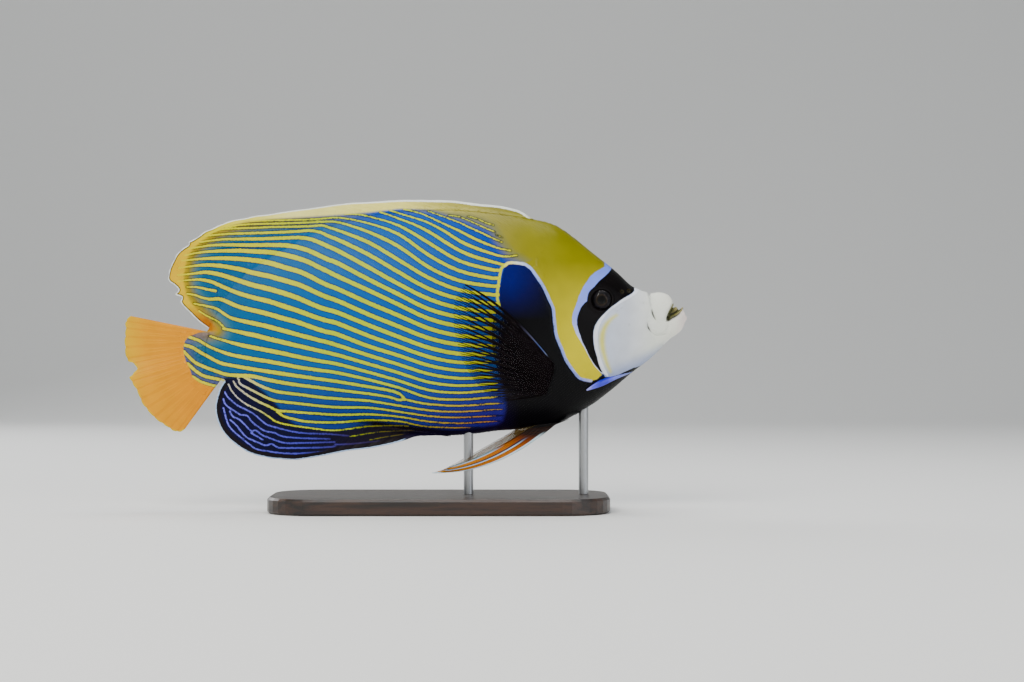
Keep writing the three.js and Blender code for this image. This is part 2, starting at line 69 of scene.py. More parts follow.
def sideView(x, z):
    return x / unit + middleLength, (z - axisHeight) / unit


def fromPicture(points):
    px = np.array(points, float)
    u = (px[:, 0] - picture["tail"]) / picture["pixelsPerUnit"]
    v = (picture["axis"] - px[:, 1]) / picture["pixelsPerUnit"]
    return np.column_stack((across(u), up(v)))


def smoothStep(value, low, high):
    t = np.clip((value - low) / (high - low), 0, 1)
    return t * t * (3 - 2 * t)


# Nodes and materials: a first colour, and layers of others over it
def linear(hexColour):
    # An sRGB hex value as linear red, green, blue and alpha
    parts = [int(hexColour[i:i + 2], 16) / 255 for i in (1, 3, 5)]
    return (*[c / 12.92 if c <= 0.04045 else ((c + 0.055) / 1.055) ** 2.4 for c in parts], 1.0)


def fill(tree, socket, value):
    # Links a socket or gives it a constant, with hex colours turned linear
    if isinstance(value, bpy.types.NodeSocket):
        tree.links.new(value, socket)
    else:
        socket.default_value = linear(value) if str(value).startswith("#") else value


def addNode(tree, kind, settings=None, inputs=None):
    # Adds a node, sets its properties and fills its inputs
    node = tree.nodes.new(kind)
    for name, value in (settings or {}).items():
        setattr(node, name, value)
    for key, value in (inputs or {}).items():
        fill(tree, node.inputs[key], value)
    return node


def span(tree, source, low, high, smooth=False, wobble=None):
    # How far a place lies between two picture columns, two picture rows or two values of a stored field
    if source in ("columns", "rows"):
        axis = ("columns", "rows").index(source)
        place = addNode(tree, "ShaderNodeTexCoord").outputs["Object"]
        value = addNode(tree, "ShaderNodeSeparateXYZ", {}, {0: place}).outputs["XZ"[axis]]
        low, high = fromPicture([(low, low), (high, high)])[:, axis]
    else:
        value = addNode(tree, "ShaderNodeAttribute", {"attribute_name": source}).outputs["Fac"]
    if wobble is not None:
        value = addNode(tree, "ShaderNodeMath", {"operation": "ADD"}, {0: value, 1: wobble}).outputs[0]
    settings = {"interpolation_type": "SMOOTHSTEP" if smooth else "LINEAR"}
    limits = {"Value": value, "From Min": float(low), "From Max": float(high)}
    return addNode(tree, "ShaderNodeMapRange", settings, limits).outputs["Result"]


def grain(tree, size, detail=2.0, stretch=(1, 1, 1)):
    # Noise of a real size, drawn out along an axis where the stretch says so
    place = addNode(tree, "ShaderNodeTexCoord").outputs["Object"]
    if stretch != (1, 1, 1):
        scale = [1 / s for s in stretch]
        place = addNode(tree, "ShaderNodeMapping", {}, {"Vector": place, "Scale": scale}).outputs["Vector"]
    settings = {"Vector": place, "Scale": 1 / size, "Detail": detail}
    return addNode(tree, "ShaderNodeTexNoise", {}, settings).outputs["Fac"]


def product(tree, *shares):
    # A share is a number, a link, grain of a size, or a span, which is smooth on a stored field
    result = None
    for share in shares:
        if isinstance(share, tuple):
            source, *limits = share
            plain = source in ("columns", "rows")
            share = grain(tree, *limits) if source == "grain" else \
                span(tree, source, *limits[:2], not plain, *limits[2:])
        if result is not None:
            factors = {0: result, 1: share}
            share = addNode(tree, "ShaderNodeMath", {"operation": "MULTIPLY"}, factors).outputs[0]
        result = share
    return result


def tint(tree, colour):
    # A hex value or a link as it is, or a source with the colours at its places
    if not isinstance(colour, tuple):
        return colour
    source, stops = colour
    places = sorted(stops)
    node = addNode(tree, "ShaderNodeValToRGB", {}, {"Fac": span(tree, source, places[0], places[-1])})
    bar = node.color_ramp.elements
    while len(bar) < len(places):
        bar.new(0.5)
    for stop, place in zip(bar, places):
        stop.position = (place - places[0]) / (places[-1] - places[0])
        stop.color = linear(stops[place])
    return node.outputs["Color"]


def blend(tree, factor, below, above, mode="MIX"):
    settings = {"data_type": "RGBA", "blend_type": mode, "clamp_factor": True}
    return addNode(tree, "ShaderNodeMix", settings, {0: factor, 6: below, 7: above}).outputs[2]


def covered(tree, colour, *layers):
    # Each layer is a colour and the shares whose product it is laid on with
    colour = tint(tree, colour)
    for above, *shares in layers:
        colour = blend(tree, product(tree, *shares), colour, tint(tree, above))
    return colour


def newMaterial(name, settings):
    material = bpy.data.materials.new(name)
    material.use_nodes = True
    shader = material.node_tree.nodes["Principled BSDF"]
    for socket, value in settings.items():
        shader.inputs[socket].default_value = value
    return material, material.node_tree, shader


def surface(name, settings, colour, *layers):
    material, tree, shader = newMaterial(name, settings)
    fill(tree, shader.inputs["Base Color"], covered(tree, colour, *layers))
    return material


def addRelief(tree, shader, height, distance, strength=0.5, invert=False):
    settings = {"Strength": strength, "Distance": distance, "Height": height}
    bump = addNode(tree, "ShaderNodeBump", {"invert": invert}, settings)
    fill(tree, shader.inputs["Normal"], bump.outputs["Normal"])


# Meshes
def addObject(name, vertices, faces):
    mesh = bpy.data.meshes.new(name)
    mesh.from_pydata([tuple(p) for p in vertices], [], [tuple(f) for f in faces])
    mesh.validate()
    mesh.update()
    mesh.shade_smooth()
    piece = bpy.data.objects.new(name, mesh)
    bpy.context.scene.collection.objects.link(piece)
    return piece


def fixNormals(piece):
    # Turns every face of a closed piece outwards
    sheet = bmesh.new()
    sheet.from_mesh(piece.data)
    bmesh.ops.recalc_face_normals(sheet, faces=sheet.faces)
    sheet.to_mesh(piece.data)
    sheet.free()


def read(items, name, width=1, kind=float):
    # One property of all corners, loops or faces of a mesh
    values = np.empty(len(items) * width, kind)
    items.foreach_get(name, values)
    return values.reshape(-1, width) if width > 1 else values


def addAttribute(mesh, name, values, kind="FLOAT"):
    layer = mesh.attributes.new(name, kind, "POINT")
    key = "vector" if kind == "FLOAT_VECTOR" else "value"
    layer.data.foreach_set(key, np.asarray(values, np.float32).ravel())


def addBakeMap(mesh, uv):
    mesh.uv_layers.new(name="OFBake").data.foreach_set("uv", uv.astype(np.float32).ravel())


def circle(count):
    turns = [2 * math.pi * k / count for k in range(count)]
    return [(math.cos(turn), math.sin(turn)) for turn in turns]


def ringFaces(start, count, around, capped=True):
    # Faces between rings of corners, with a flat cap at each end where asked for
    last = start + (count - 1) * around
    faces = []
    for row in range(start, last, around):
        for k in range(around):
            a, b = row + k, row + (k + 1) % around
            faces.append((a, b, b + around, a + around))
    if capped:
        faces += [tuple(range(start + around - 1, start - 1, -1)), tuple(range(last, last + around))]
    return faces


def runAlong(a, b):
    # Length run through along a line, at each of its points
    return np.concatenate(([0], np.cumsum(np.hypot(np.diff(a), np.diff(b)))))


def finish(piece, material, slot, *nodes):
    if material:
        piece.data.materials.append(material)
    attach(piece, "root")
    if nodes:
        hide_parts(*nodes)


# Camera, floor and lights
def addCamera():
    view = {"distance": 1.4, "sensor": 36.0}
    middle = fromPicture([(picture["width"] / 2, picture["height"] / 2)])[0]
    data = bpy.data.cameras.new("camera")
    data.sensor_width = view["sensor"]
    data.lens = view["sensor"] * view["distance"] / (picture["width"] * pixel)
    camera = bpy.data.objects.new("camera", data)
    camera.location = (middle[0], -view["distance"], middle[1])
    camera.rotation_euler = (math.pi / 2, 0, 0)
    bpy.context.scene.collection.objects.link(camera)
    bpy.context.scene.camera = camera


def addStage():
    stage = {"floorHalf": 7.0, "wallBack": 1.5, "bendRadius": 0.9, "wallTop": 4.0, "bendSteps": 20}
    line = [(-stage["floorHalf"], 0.0)]
    for turn in np.linspace(0, math.pi / 2, stage["bendSteps"]):
        y = stage["wallBack"] + stage["bendRadius"] * math.sin(turn)
        line.append((y, stage["bendRadius"] * (1 - math.cos(turn))))
    line.append((stage["wallBack"] + stage["bendRadius"], stage["wallTop"]))
    vertices = [(x, y, z) for y, z in line for x in (-stage["floorHalf"], stage["floorHalf"])]
    faces = [(2 * i, 2 * i + 1, 2 * i + 3, 2 * i + 2) for i in range(len(line) - 1)]
    sweep = addObject("studio_sweep", vertices, faces)
    # Matt studio paper, pale grey, with no shine at all
    sweep.data.materials.append(surface("matt_studio_paper", {"Roughness": 0.95}, "#F0F1F0"))


def addLights():
    centre = Vector((0, 0, 0.11))
    lamps = {
        "key_softbox": {"place": (-0.55, -1.35, 1.25), "size": 1.0, "power": 25, "colour": "#FFFAF2"},
        "fill_softbox": {"place": (1.15, -1.2, 0.55), "size": 1.1, "power": 8, "colour": "#F4F8FF"},
        "top_softbox": {"place": (0.1, 0.15, 1.35), "size": 0.9, "power": 13, "colour": "#FFFFFF"},
        "back_softbox": {"place": (-0.9, 1.0, 0.8), "size": 0.8, "power": 9, "colour": "#FFFFFF"},
    }
    for name, lamp in lamps.items():
        data = bpy.data.lights.new(name, "AREA")
        data.shape = "SQUARE"
        data.size = lamp["size"]
        data.energy = lamp["power"]
        data.color = linear(lamp["colour"])[:3]
        light = bpy.data.objects.new(name, data)
        light.location = lamp["place"]
        light.rotation_mode = "QUATERNION"
        light.rotation_quaternion = (centre - Vector(lamp["place"])).to_track_quat("-Z", "Y")
        bpy.context.scene.collection.objects.link(light)
    world = bpy.data.worlds.new("studio_air")
    world.use_nodes = True
    air = world.node_tree.nodes["Background"].inputs
    air["Color"].default_value = linear("#E4E8EC")
    air["Strength"].default_value = 0.35
    bpy.context.scene.world = world


addCamera()
addStage()
addLights()
print("camera, floor and lights set")


# Body form: outlines, half widths, ridges and roundness of the sections
def profile(pairs):
    # A smooth function through a few pairs, each slope the mean of the two beside it
    x, y = np.array(pairs, float).T
    secant = np.diff(y) / np.diff(x)
    slope = np.concatenate(([secant[0]], (secant[1:] + secant[:-1]) / 2, [secant[-1]]))

    def curve(place):
        place = np.clip(np.asarray(place, float), x[0], x[-1])
        i = np.clip(np.searchsorted(x, place, side="right") - 1, 0, len(x) - 2)
        step = x[i + 1] - x[i]
        t = (place - x[i]) / step
        rise = (1 + 2 * t) * (1 - t) ** 2 * y[i] + t * t * (3 - 2 * t) * y[i + 1]
        return rise + t * (1 - t) * step * ((1 - t) * slope[i] - t * slope[i + 1])

    return curve


backLine = profile([
    (13.5, 0.7), (15.1, 1.2), (16.2, 3.4), (17.6, 6.4), (20.4, 10.3), (24.7, 13.6), (29.7, 16.6),
    (35, 19.3), (42.2, 21.4), (49.3, 22.4), (58.2, 22.7), (67.1, 21.9), (73.5, 20.9), (76.9, 20),
    (79.6, 18.3), (83.2, 15.4), (86.5, 12.8), (88.5, 11.1), (90.4, 9.3), (92, 8.5), (94, 7.9),
    (95.8, 7.8), (97.1, 7.2), (98, 5.9), (99, 5.5), (99.7, 4.8), (100.1, 3.8),
])
bellyLine = profile([
    (13.5, -6.9), (17.7, -7.8), (20.1, -8.6), (22.5, -9.7), (26.1, -11.5), (31.5, -13.5),
    (38.6, -15.1), (45.7, -16), (52.9, -16.9), (59.1, -17.5), (67.1, -16.7), (72.5, -16.3),
    (76, -15.9), (79.6, -14.4), (83.2, -12.3), (87.1, -9.4), (90.6, -6.4), (93.9, -3.9),
    (95.8, -2.1), (97.4, -0.4), (98.7, 0.5), (99.6, 1.7), (100.1, 2.9),
])
axisLine = profile([(13.5, -3.2), (20, -1), (30, 1.5), (50, 3), (70, 3.4), (84, 3), (100.1, 3.3)])
bodyWidth = profile([
    (13.5, 0.2), (15, 0.7), (17, 1.15), (20, 1.7), (24, 2.4), (30, 3.5), (40, 5.1), (50, 6.3), (60, 7),
    (70, 7.3), (78, 7), (84, 6.1), (88, 5), (92, 3.7), (95, 2.95), (97, 2.5), (99, 1.8), (100.1, 0.8),
])
backRim = profile([(13.5, 0.1), (18, 0.6), (40, 0.85), (68, 0.8), (75, 0.35), (100.1, 0.25)])
bellyRim = profile([(13.5, 0.1), (18, 0.6), (40, 0.8), (57, 0.75), (62, 0.4), (100.1, 0.25)])
backRound = profile([(13.5, 0.6), (25, 0.9), (60, 0.88), (76, 0.68), (88, 0.55), (100.1, 0.5)])
bellyRound = profile([(13.5, 0.6), (25, 0.9), (55, 0.8), (66, 0.6), (88, 0.52), (100.1, 0.5)])
ridgeForm = {"free": 0.25, "underFin": 0.04, "back": (15, 17, 71, 74), "belly": (18, 20, 56, 59)}


def ridgePower(u, span):
    # Rounded where the ridge is free, and nearly flat where a fin stands on it
    start, full, last, stop = ridgeForm[span]
    finned = smoothStep(u, start, full) * (1 - smoothStep(u, last, stop))
    return ridgeForm["free"] + (ridgeForm["underFin"] - ridgeForm["free"]) * finned


def sectionHalf(u, angle):
    # Half width at an angle round the section, which is 90 degrees at the back
    upper = angle >= 0
    rim = np.where(upper, backRim(u), bellyRim(u))
    roundness = np.where(upper, backRound(u), bellyRound(u))
    power = np.where(upper, ridgePower(u, "back"), ridgePower(u, "belly"))
    level = np.clip(np.cos(angle), 0, 1) ** 2
    return rim * level ** power + (bodyWidth(u) - rim) * level ** roundness


def flank(u, v):
    limit = np.where(v >= axisLine(u), backLine(u), bellyLine(u))
    share = (v - axisLine(u)) / np.abs(limit - axisLine(u))
    return sectionHalf(u, np.arcsin(np.clip(share, -1, 1)))


def section(u, angle):
    # Side-view height and half width of the section at an angle
    limit = np.where(angle >= 0, backLine(u), bellyLine(u))
    height = axisLine(u) + np.abs(limit - axisLine(u)) * np.sin(angle)
    return height, sectionHalf(u, angle)


# Lines and regions of the side view
def catmullRom(a, b, c, d, t):
    return 0.5 * (2 * b + (c - a) * t + (2 * a - 5 * b + 4 * c - d) * t ** 2
                  + (3 * b - a - 3 * c + d) * t ** 3)


def smoothLine(points, steps=4):
    # A curve through points picked one by one
    p = np.array(points, float)
    ends = np.vstack((2 * p[0] - p[1], p, 2 * p[-1] - p[-2]))
    t = np.linspace(0, 1, steps, endpoint=False)[:, None]
    parts = [catmullRom(*four, t) for four in zip(ends[:-3], ends[1:-2], ends[2:-1], ends[3:])]
    return np.vstack((*parts, p[-1:]))


def picturePath(points, steps=4):
    return fromPicture(smoothLine(points, steps))


def distanceTo(lines, x, z, reach=5 * mm):
    # Distance from each place to the nearest line, less the line's half width there
    order = np.argsort(x)
    xs, zs = x[order], z[order]
    best = np.full(len(x), reach)
    for line, half in lines:
        half = np.broadcast_to(half, len(line))
        for (x0, z0), (x1, z1), h0, h1 in zip(line[:-1], line[1:], half[:-1], half[1:]):
            low = np.searchsorted(xs, min(x0, x1) - reach)
            high = np.searchsorted(xs, max(x0, x1) + reach)
            dx, dz = x1 - x0, z1 - z0
            px, pz = xs[low:high] - x0, zs[low:high] - z0
            t = np.clip((px * dx + pz * dz) / max(dx * dx + dz * dz, 1e-12), 0, 1)
            gap = np.hypot(px - t * dx, pz - t * dz) - (h0 + (h1 - h0) * t)
            best[low:high] = np.minimum(best[low:high], gap)
    result = np.empty(len(x))
    result[order] = best
    return result


def gapTo(points, x, z, reach=5 * mm, steps=4):
    return distanceTo([(picturePath(points, steps), 0.0)], x, z, reach)


def region(points, x, z, reach=25 * mm, smooth=True):
    # Positive inside a closed outline, negative outside it
    ring = smoothLine(points) if smooth else np.array(points, float)
    ring = fromPicture(np.vstack((ring, ring[:1])))
    inside = np.zeros(len(x), bool)
    for (x0, z0), (x1, z1) in zip(ring[:-1], ring[1:]):
        if z0 != z1:
            crosses = ((z0 > z) != (z1 > z)) & (x < (x1 - x0) * (z - z0) / (z1 - z0) + x0)
            inside ^= crosses
    gap = distanceTo([(ring, 0.0)], x, z, reach)
    return np.where(inside, gap, -gap)


# Markings, in pixels of the picture. A stripe has its half widths at the rear, middle and front
stripeStations = (205, 335, 490)
stripes = [
    ((0.7, 0.8, 1.2), [(468, 216.8), (478, 219.6), (486, 223.5), (494, 226)]),
    ((0.7, 0.8, 0.8), [(496, 235.8), (503, 238.5)]),
    ((0.8, 0.9, 1.3), [(449, 215.8), (460, 217.6), (470, 221.7), (480, 226.3), (488, 230), (495, 232.8)]),
    ((0.8, 1, 1.4), [(428, 211.3), (440, 215.8), (450, 219.6), (460, 223.4), (470, 228.4), (480, 232.9),
     (490, 237.8), (502, 243.3)]),
    ((1.2, 1.4, 1.6), [(404, 209.6), (412, 211.3), (421, 213.8), (430, 217.7), (440, 222.5), (450, 227.3),
     (460, 231.9), (475, 239.8), (490, 246.2), (500, 249.6), (511, 251.8)]),
    ((1.2, 1.5, 1.7), [(390, 210.5), (400, 213.8), (410, 217), (420, 220), (430, 224), (445, 232), (460, 241.8),
     (475, 248.8), (490, 254), (500, 257), (508, 257.5), (517, 256.6)]),
    ((1.2, 1.6, 1.8), [(380, 212.3), (390, 215.6), (400, 219.5), (415, 225.2), (430, 232.9), (445, 242.5),
     (460, 251.5), (475, 257.8), (490, 262.2), (500, 265), (506, 266.5)]),
    ((1.2, 1.6, 1.8), [(345, 214), (358, 214.6), (370, 217), (400, 226.4), (430, 244.1), (460, 261.9),
     (490, 270.3), (499, 271.3)]),
    ((1.4, 1.6, 1.8), [(250, 221.4), (270, 220.6), (285, 220.2), (300, 219.8), (320, 218.9), (340, 217.8),
     (370, 224), (400, 235.3), (430, 256.3), (460, 271.8), (490, 278.7), (499, 279.2)]),
    ((1.7, 1.9, 1.8), [(226, 227.2), (238, 225.4), (250, 224.3), (270, 223.7), (290, 223.2), (310, 222.4),
     (325, 221.8), (340, 222.8), (370, 232.8), (400, 247.5), (430, 268.3), (460, 281.6), (490, 286.8),
     (499, 287)]),
    ((1.8, 2, 1.8), [(209, 234), (216, 231), (225, 229), (250, 228), (270, 227.2), (290, 226.8), (310, 226.3),
     (322, 225.6), (330, 228), (340, 231.3), (370, 243.2), (400, 261), (430, 278.8), (460, 290.8), (490, 295.2),
     (499, 295.6)]),
    ((1.9, 2.1, 2), [(205, 236.3), (220, 234.5), (240, 233.5), (260, 233), (280, 232.3), (300, 231.3),
     (310, 230.8), (320, 232.3), (330, 236.8), (340, 240.8), (370, 255.4), (400, 273), (430, 289.6),
     (460, 299.5), (490, 304), (499, 305)]),
    ((1.9, 2.2, 2), [(200, 242.2), (220, 239.6), (240, 239.1), (260, 238.9), (290, 237.9), (300, 237.8),
     (310, 239.2), (320, 242.7), (330, 247.3), (340, 251.8), (370, 268), (400, 284.7), (430, 299.6),
     (460, 308.7), (490, 312.3), (502, 314)]),
    ((2, 2.3, 2), [(188, 248.8), (200, 247), (210, 245.5), (225, 244.9), (245, 245.1), (270, 245.1),
     (282, 245.3), (290, 246), (300, 248), (310, 251.2), (320, 255.7), (330, 260.4), (340, 264.2), (370, 280),
     (400, 294.9), (430, 309.6), (460, 317.4), (490, 320.5), (504, 323)]),
    ((2, 2.3, 2), [(185, 255.4), (200, 252.5), (220, 251), (240, 250.7), (250, 251.2), (270, 252.4), (280, 254),
     (290, 256.3), (300, 259), (310, 262.6), (320, 267.6), (330, 272.3), (340, 277.3), (370, 290.8), (400, 305),
     (430, 319), (460, 326.4), (490, 328.8), (504, 330)]),
    ((2, 2.3, 2), [(182, 260.8), (200, 259), (220, 258.2), (235, 258.7), (250, 259.9), (260, 261.2),
     (270, 263.1), (280, 266), (290, 269), (300, 271.8), (310, 276), (320, 281.3), (330, 286), (340, 289.7),
     (370, 303.2), (400, 315.7), (430, 328.6), (460, 335.8), (490, 337.5), (502, 338)]),
    ((2, 2.3, 2), [(179, 268.2), (190, 266.4), (205, 265), (220, 265.8), (230, 267.4), (240, 269.2), (250, 272),
     (260, 274.4), (270, 276.4), (280, 279.2), (290, 282), (300, 285), (310, 289.2), (320, 293.9), (330, 298),
     (340, 301.4), (370, 314.6), (400, 326.5), (430, 338.2), (460, 344.6), (490, 345.8), (500, 346)]),
    ((2.1, 2.3, 2), [(178, 275), (190, 274), (205, 272.3), (215, 273.5), (225, 276), (235, 279.2), (245, 282.5),
     (255, 285.6), (265, 287.9), (275, 290.5), (290, 295), (300, 298.5), (310, 302.8), (320, 307), (330, 310.2),
     (340, 313), (370, 325.2), (400, 336.7), (430, 347.6), (460, 353.6), (490, 354), (500, 354)]),
    ((1.8, 2.3, 1.6), [(178, 281.3), (190, 280), (200, 279.6), (210, 281.3), (218, 284.4), (225, 287.6),
     (235, 291.8), (245, 295.1), (255, 297.9), (270, 301.5), (280, 304.6), (290, 307.9), (300, 311.1),
     (310, 314.7), (320, 318.2), (330, 321.2), (340, 323.7), (370, 335.7), (400, 346.2), (430, 356.6),
     (460, 362.1), (490, 361.8), (500, 361.5)]),
    ((1.5, 1.5, 1.5), [(187, 287), (197, 287.2), (207, 289.3), (216, 291)]),
    ((1.9, 2.25, 1.45), [(187, 293.8), (195, 295), (202, 297.6), (210, 299.2), (218, 298.8), (225, 300.6),
     (235, 305), (245, 308.3), (260, 311.7), (270, 314.3), (285, 318.5), (300, 322.5), (310, 326), (320, 329.4),
     (330, 332.3), (340, 334.6), (370, 346), (400, 355.2), (430, 365.1), (460, 370.1), (490, 369.6), (500, 369)]),
    ((1.9, 2.1, 1.35), [(194, 303.6), (202, 305.2), (210, 306.8), (218, 309.4), (225, 314), (232, 318),
     (240, 320.2), (250, 322.4), (260, 324.4), (270, 326.8), (285, 330.7), (300, 334.8), (315, 338.6),
     (330, 342.4), (340, 345.4), (370, 355), (400, 364.1), (430, 373.5), (460, 377.8), (490, 376.5), (500, 376)]),
    ((1.8, 1.8, 1.8), [(199, 311), (206, 315.5), (213, 318.8), (219, 322), (223, 325.5), (226, 329.5)]),
    ((2.1, 1.95, 1.2), [(224, 328.8), (232, 330.2), (245, 333), (260, 336.2), (270, 338.8), (285, 342.3),
     (300, 345.8), (320, 350.4), (340, 355), (370, 363.6), (400, 372.4), (430, 381.7), (460, 385.1),
     (490, 383.3), (502, 382)]),
    ((2, 1.8, 1.05), [(210, 336), (220, 339), (232, 342.4), (245, 345.6), (260, 348.5), (270, 350.4),
     (285, 353.4), (300, 356.7), (320, 360.6), (340, 364), (370, 371.8), (400, 380.2), (430, 389.6),
     (460, 392.2), (490, 389.8), (504, 388)]),
    ((1.8, 1.7, 0.95), [(190, 337.3), (198, 339.8), (204, 343.2), (210, 346.6), (220, 350.8), (232, 354.6),
     (245, 357.2), (260, 359.8), (270, 361.3), (285, 364.1), (300, 367), (320, 369.8), (340, 372.6),
     (370, 379.3), (400, 387.1), (430, 397.2), (460, 398.9), (490, 396.8), (504, 395.5)]),
    ((1.7, 1.7, 1.1), [(185, 345), (192, 347), (198, 350.5), (204, 354), (210, 357.3), (217, 361), (225, 363.9),
     (245, 367.5), (260, 369.9), (270, 371.4), (285, 373.7), (300, 375.8), (320, 378.6), (340, 381.4),
     (370, 386.3), (390, 389.8), (400, 393), (405, 397.5)]),
    ((1.7, 1.55, 0.8), [(184, 351.5), (190, 357.5), (196, 362.8), (203, 366), (210, 368.8), (218, 371.6),
     (228, 374.6), (240, 375.4), (250, 375.6), (258, 377), (270, 379.8), (285, 382.6), (300, 384.8),
     (320, 387.2), (340, 389.8), (370, 393.3), (390, 396.5), (400, 399.5), (406, 399), (415, 401), (430, 403.6),
     (460, 405.2), (490, 403.2), (504, 402.6)]),
    ((1.6, 1.6, 1.6), [(188, 363.5), (195, 370), (203, 375.3), (210, 377.4), (218, 379), (224, 380.8)]),
    ((1.4, 1.4, 1.4), [(193, 376.5), (200, 381), (208, 384), (217, 386.3)]),
    ((1.2, 1.45, 0.72), [(244, 376.5), (250, 379.8), (260, 385), (270, 389.2), (280, 391.8), (300, 394.2),
     (320, 396.8), (340, 398.5), (370, 400.4), (400, 405.2), (430, 409.8), (460, 411.2), (490, 409.2),
     (503, 408.6)]),
    ((0.9, 1.35, 0.66), [(239, 379), (241, 384), (246, 386.8), (252, 389.8), (260, 394), (270, 398.7),
     (280, 401.3), (300, 403.4), (320, 405.6), (340, 407), (370, 407.4), (400, 411.3), (430, 415.6), (460, 417),
     (490, 415.4), (503, 414.8)]),
    ((0.8, 1.25, 0.6), [(234, 381.5), (237, 386.5), (243, 391.5), (250, 396.5), (260, 402), (270, 406.6),
     (278, 410.4), (290, 411.3), (300, 412.2), (320, 413.6), (340, 414.6), (370, 414), (400, 416.3),
     (430, 421.3), (460, 422.8), (490, 421), (500, 420.5)]),
    ((1.1, 1.15, 0.5), [(277, 411), (284, 416.3), (295, 419.2), (305, 421.2), (320, 422.2), (340, 422.1),
     (370, 419.9), (400, 421), (415, 424.3), (430, 426.5), (460, 427.4), (480, 427.2)]),
    ((0.7, 0.8, 0.5), [(228.5, 384), (232, 391), (238, 398), (246, 404), (254, 408), (262, 412), (270, 417.3),
     (276, 421.5), (288, 424.8), (300, 426.6), (315, 428.6), (330, 430.3), (345, 429.5), (360, 427.2),
     (375, 425.8), (395, 425.4), (410, 426)]),
    ((0.6, 0.6, 0.5), [(350, 436.6), (360, 434.8), (370, 433.1), (385, 431.4), (400, 430.7), (415, 430.3)]),
    ((0.5, 0.5, 0.45), [(370, 439.9), (385, 437), (400, 434.7), (410, 433.5)]),
]
violetLines = [
    [(225, 392), (228, 397), (237, 405), (247, 410), (255, 415), (262, 421), (268, 425), (280, 428.5),
     (295, 432), (310, 433.5), (330, 434), (350, 436)],
    [(223.5, 399), (226, 405), (233, 410), (240, 414.5), (247, 415.5), (250, 419.5), (255, 424.5), (265, 431),
     (275, 433), (283, 436.5), (300, 438), (330, 439)],
    [(229.5, 411), (233, 416.5), (240, 420), (246, 426), (251, 431), (256, 430.5), (262, 435), (272, 439),
     (285, 443), (300, 443), (335, 442)],
    [(223.5, 408), (225, 414), (228, 424), (233, 431), (240, 437), (248, 443.5), (256, 449), (266, 451),
     (280, 453), (300, 453.5), (330, 451)],
    [(230, 420), (235, 424), (240, 430), (246, 437), (252, 440), (260, 443.5), (266, 445.5), (272, 444),
     (278, 447.5), (290, 448), (320, 447.5), (335, 446.5)],
    [(251, 433), (257, 436.5), (263, 440)],
    [(335, 444.5), (350, 444), (365, 442.5), (380, 441)],
]
maskFront = [(634, 288), (633.8, 291), (631, 294), (626, 296.7), (620, 300.4), (615, 304), (610, 307.5),
    (605, 312), (601, 316), (596.7, 321), (593.8, 326), (592.5, 331), (592.3, 336.7), (592.7, 342.5),
    (593.8, 349), (596, 356), (597.5, 362.5), (599.6, 368), (603, 374)]
maskRear = [(599, 371), (593, 364), (588, 356), (584, 347.5), (580.4, 340), (577.5, 331), (575.8, 325),
    (575.8, 319), (577.5, 313), (580, 307.5), (583.8, 303), (585.8, 302), (586, 299), (587, 294), (589, 291),
    (593, 287.5), (596.7, 283), (600, 280), (604, 276.7), (608, 273), (611, 268.8), (611.5, 265)]
bandRear = [(604, 260), (604, 267), (599, 270), (594, 273), (589, 277.5), (586, 282), (582.5, 287),
    (579.6, 292.5), (577.5, 297.5), (576, 303), (574, 308), (572, 313), (571, 318), (571, 323), (572.5, 327.5),
    (575, 334), (578.5, 340), (583, 347.5), (588, 357), (593.5, 366), (598.5, 371), (600.5, 373)]
patchBorder = [(505, 267), (508, 264.4), (513, 263.8), (520, 264.5), (525, 265.5), (530, 269), (534, 274),
    (538, 280), (542, 286), (546, 294), (549, 301), (552.5, 309), (553.5, 319), (555.5, 335), (561, 349),
    (564, 357), (568, 364), (573, 371), (578, 377), (582.5, 379), (590, 380.5)]
patchRear = [(512.7, 326), (507, 320), (501.7, 310), (500, 303), (499.6, 296), (500.2, 288), (501.4, 281),
    (502.4, 275), (504.5, 269.5)]
patchLine = [(505, 266.2), (501.6, 269.5), (500.2, 275), (499.4, 281), (498.2, 288), (497.5, 294), (497.8, 300),
    (499.5, 307)]
faceLower = [(604, 377), (611, 376.3), (618, 374.5), (626.7, 370.5), (633, 367.7), (641, 366)]
whiteFront = [(640, 288), (636, 294), (630, 298), (623, 301.5), (616.5, 305.5), (610.5, 310), (604.5, 315.5),
    (600.3, 321.5), (597.8, 327.5), (596.6, 334), (596.5, 341), (597.2, 348), (599, 355), (601.2, 362),
    (603.8, 368), (607, 373.5), (608, 377)]
crescent = [(615, 314), (608.5, 318), (603.3, 323), (600, 328.5), (598, 334.5), (597.5, 341), (598.4, 348),
    (600.4, 355), (602.8, 362), (605.3, 367.5), (609, 373), (611, 371), (608.4, 364), (606.2, 356.5),
    (604.6, 349), (604, 341), (604.6, 333.5), (607, 326.5), (611.5, 320.5), (617.5, 315.5)]
throat = [(506, 322), (503, 330), (501, 340), (499, 355), (498.5, 370), (500.5, 380), (504, 390), (506, 400),
    (506, 410), (503, 420), (496, 426), (480, 429.5), (450, 431.5), (425, 431), (405, 434), (400, 470),
    (500, 480), (640, 440), (740, 360), (700, 340), (660, 352), (641, 361.5), (627, 368), (616, 372.5),
    (606, 375.5), (601.5, 374), (596, 378), (585, 380), (570, 350), (540, 320), (518, 306), (508, 308),
    (504, 314)]
analBase = [(226, 377.5), (243, 376.5), (250, 380), (258, 386), (266, 393), (272, 399), (278, 406), (284, 414),
    (290, 421), (300, 427), (315, 429), (330, 430.5), (345, 430), (360, 428), (385, 426.5), (410, 427),
    (425, 431)]
tailBorder = [(206, 331), (199, 333), (190, 336), (185.5, 341), (184, 346), (184, 352), (186, 360), (190, 368),
    (193, 377), (199, 382), (206, 385), (217, 388)]
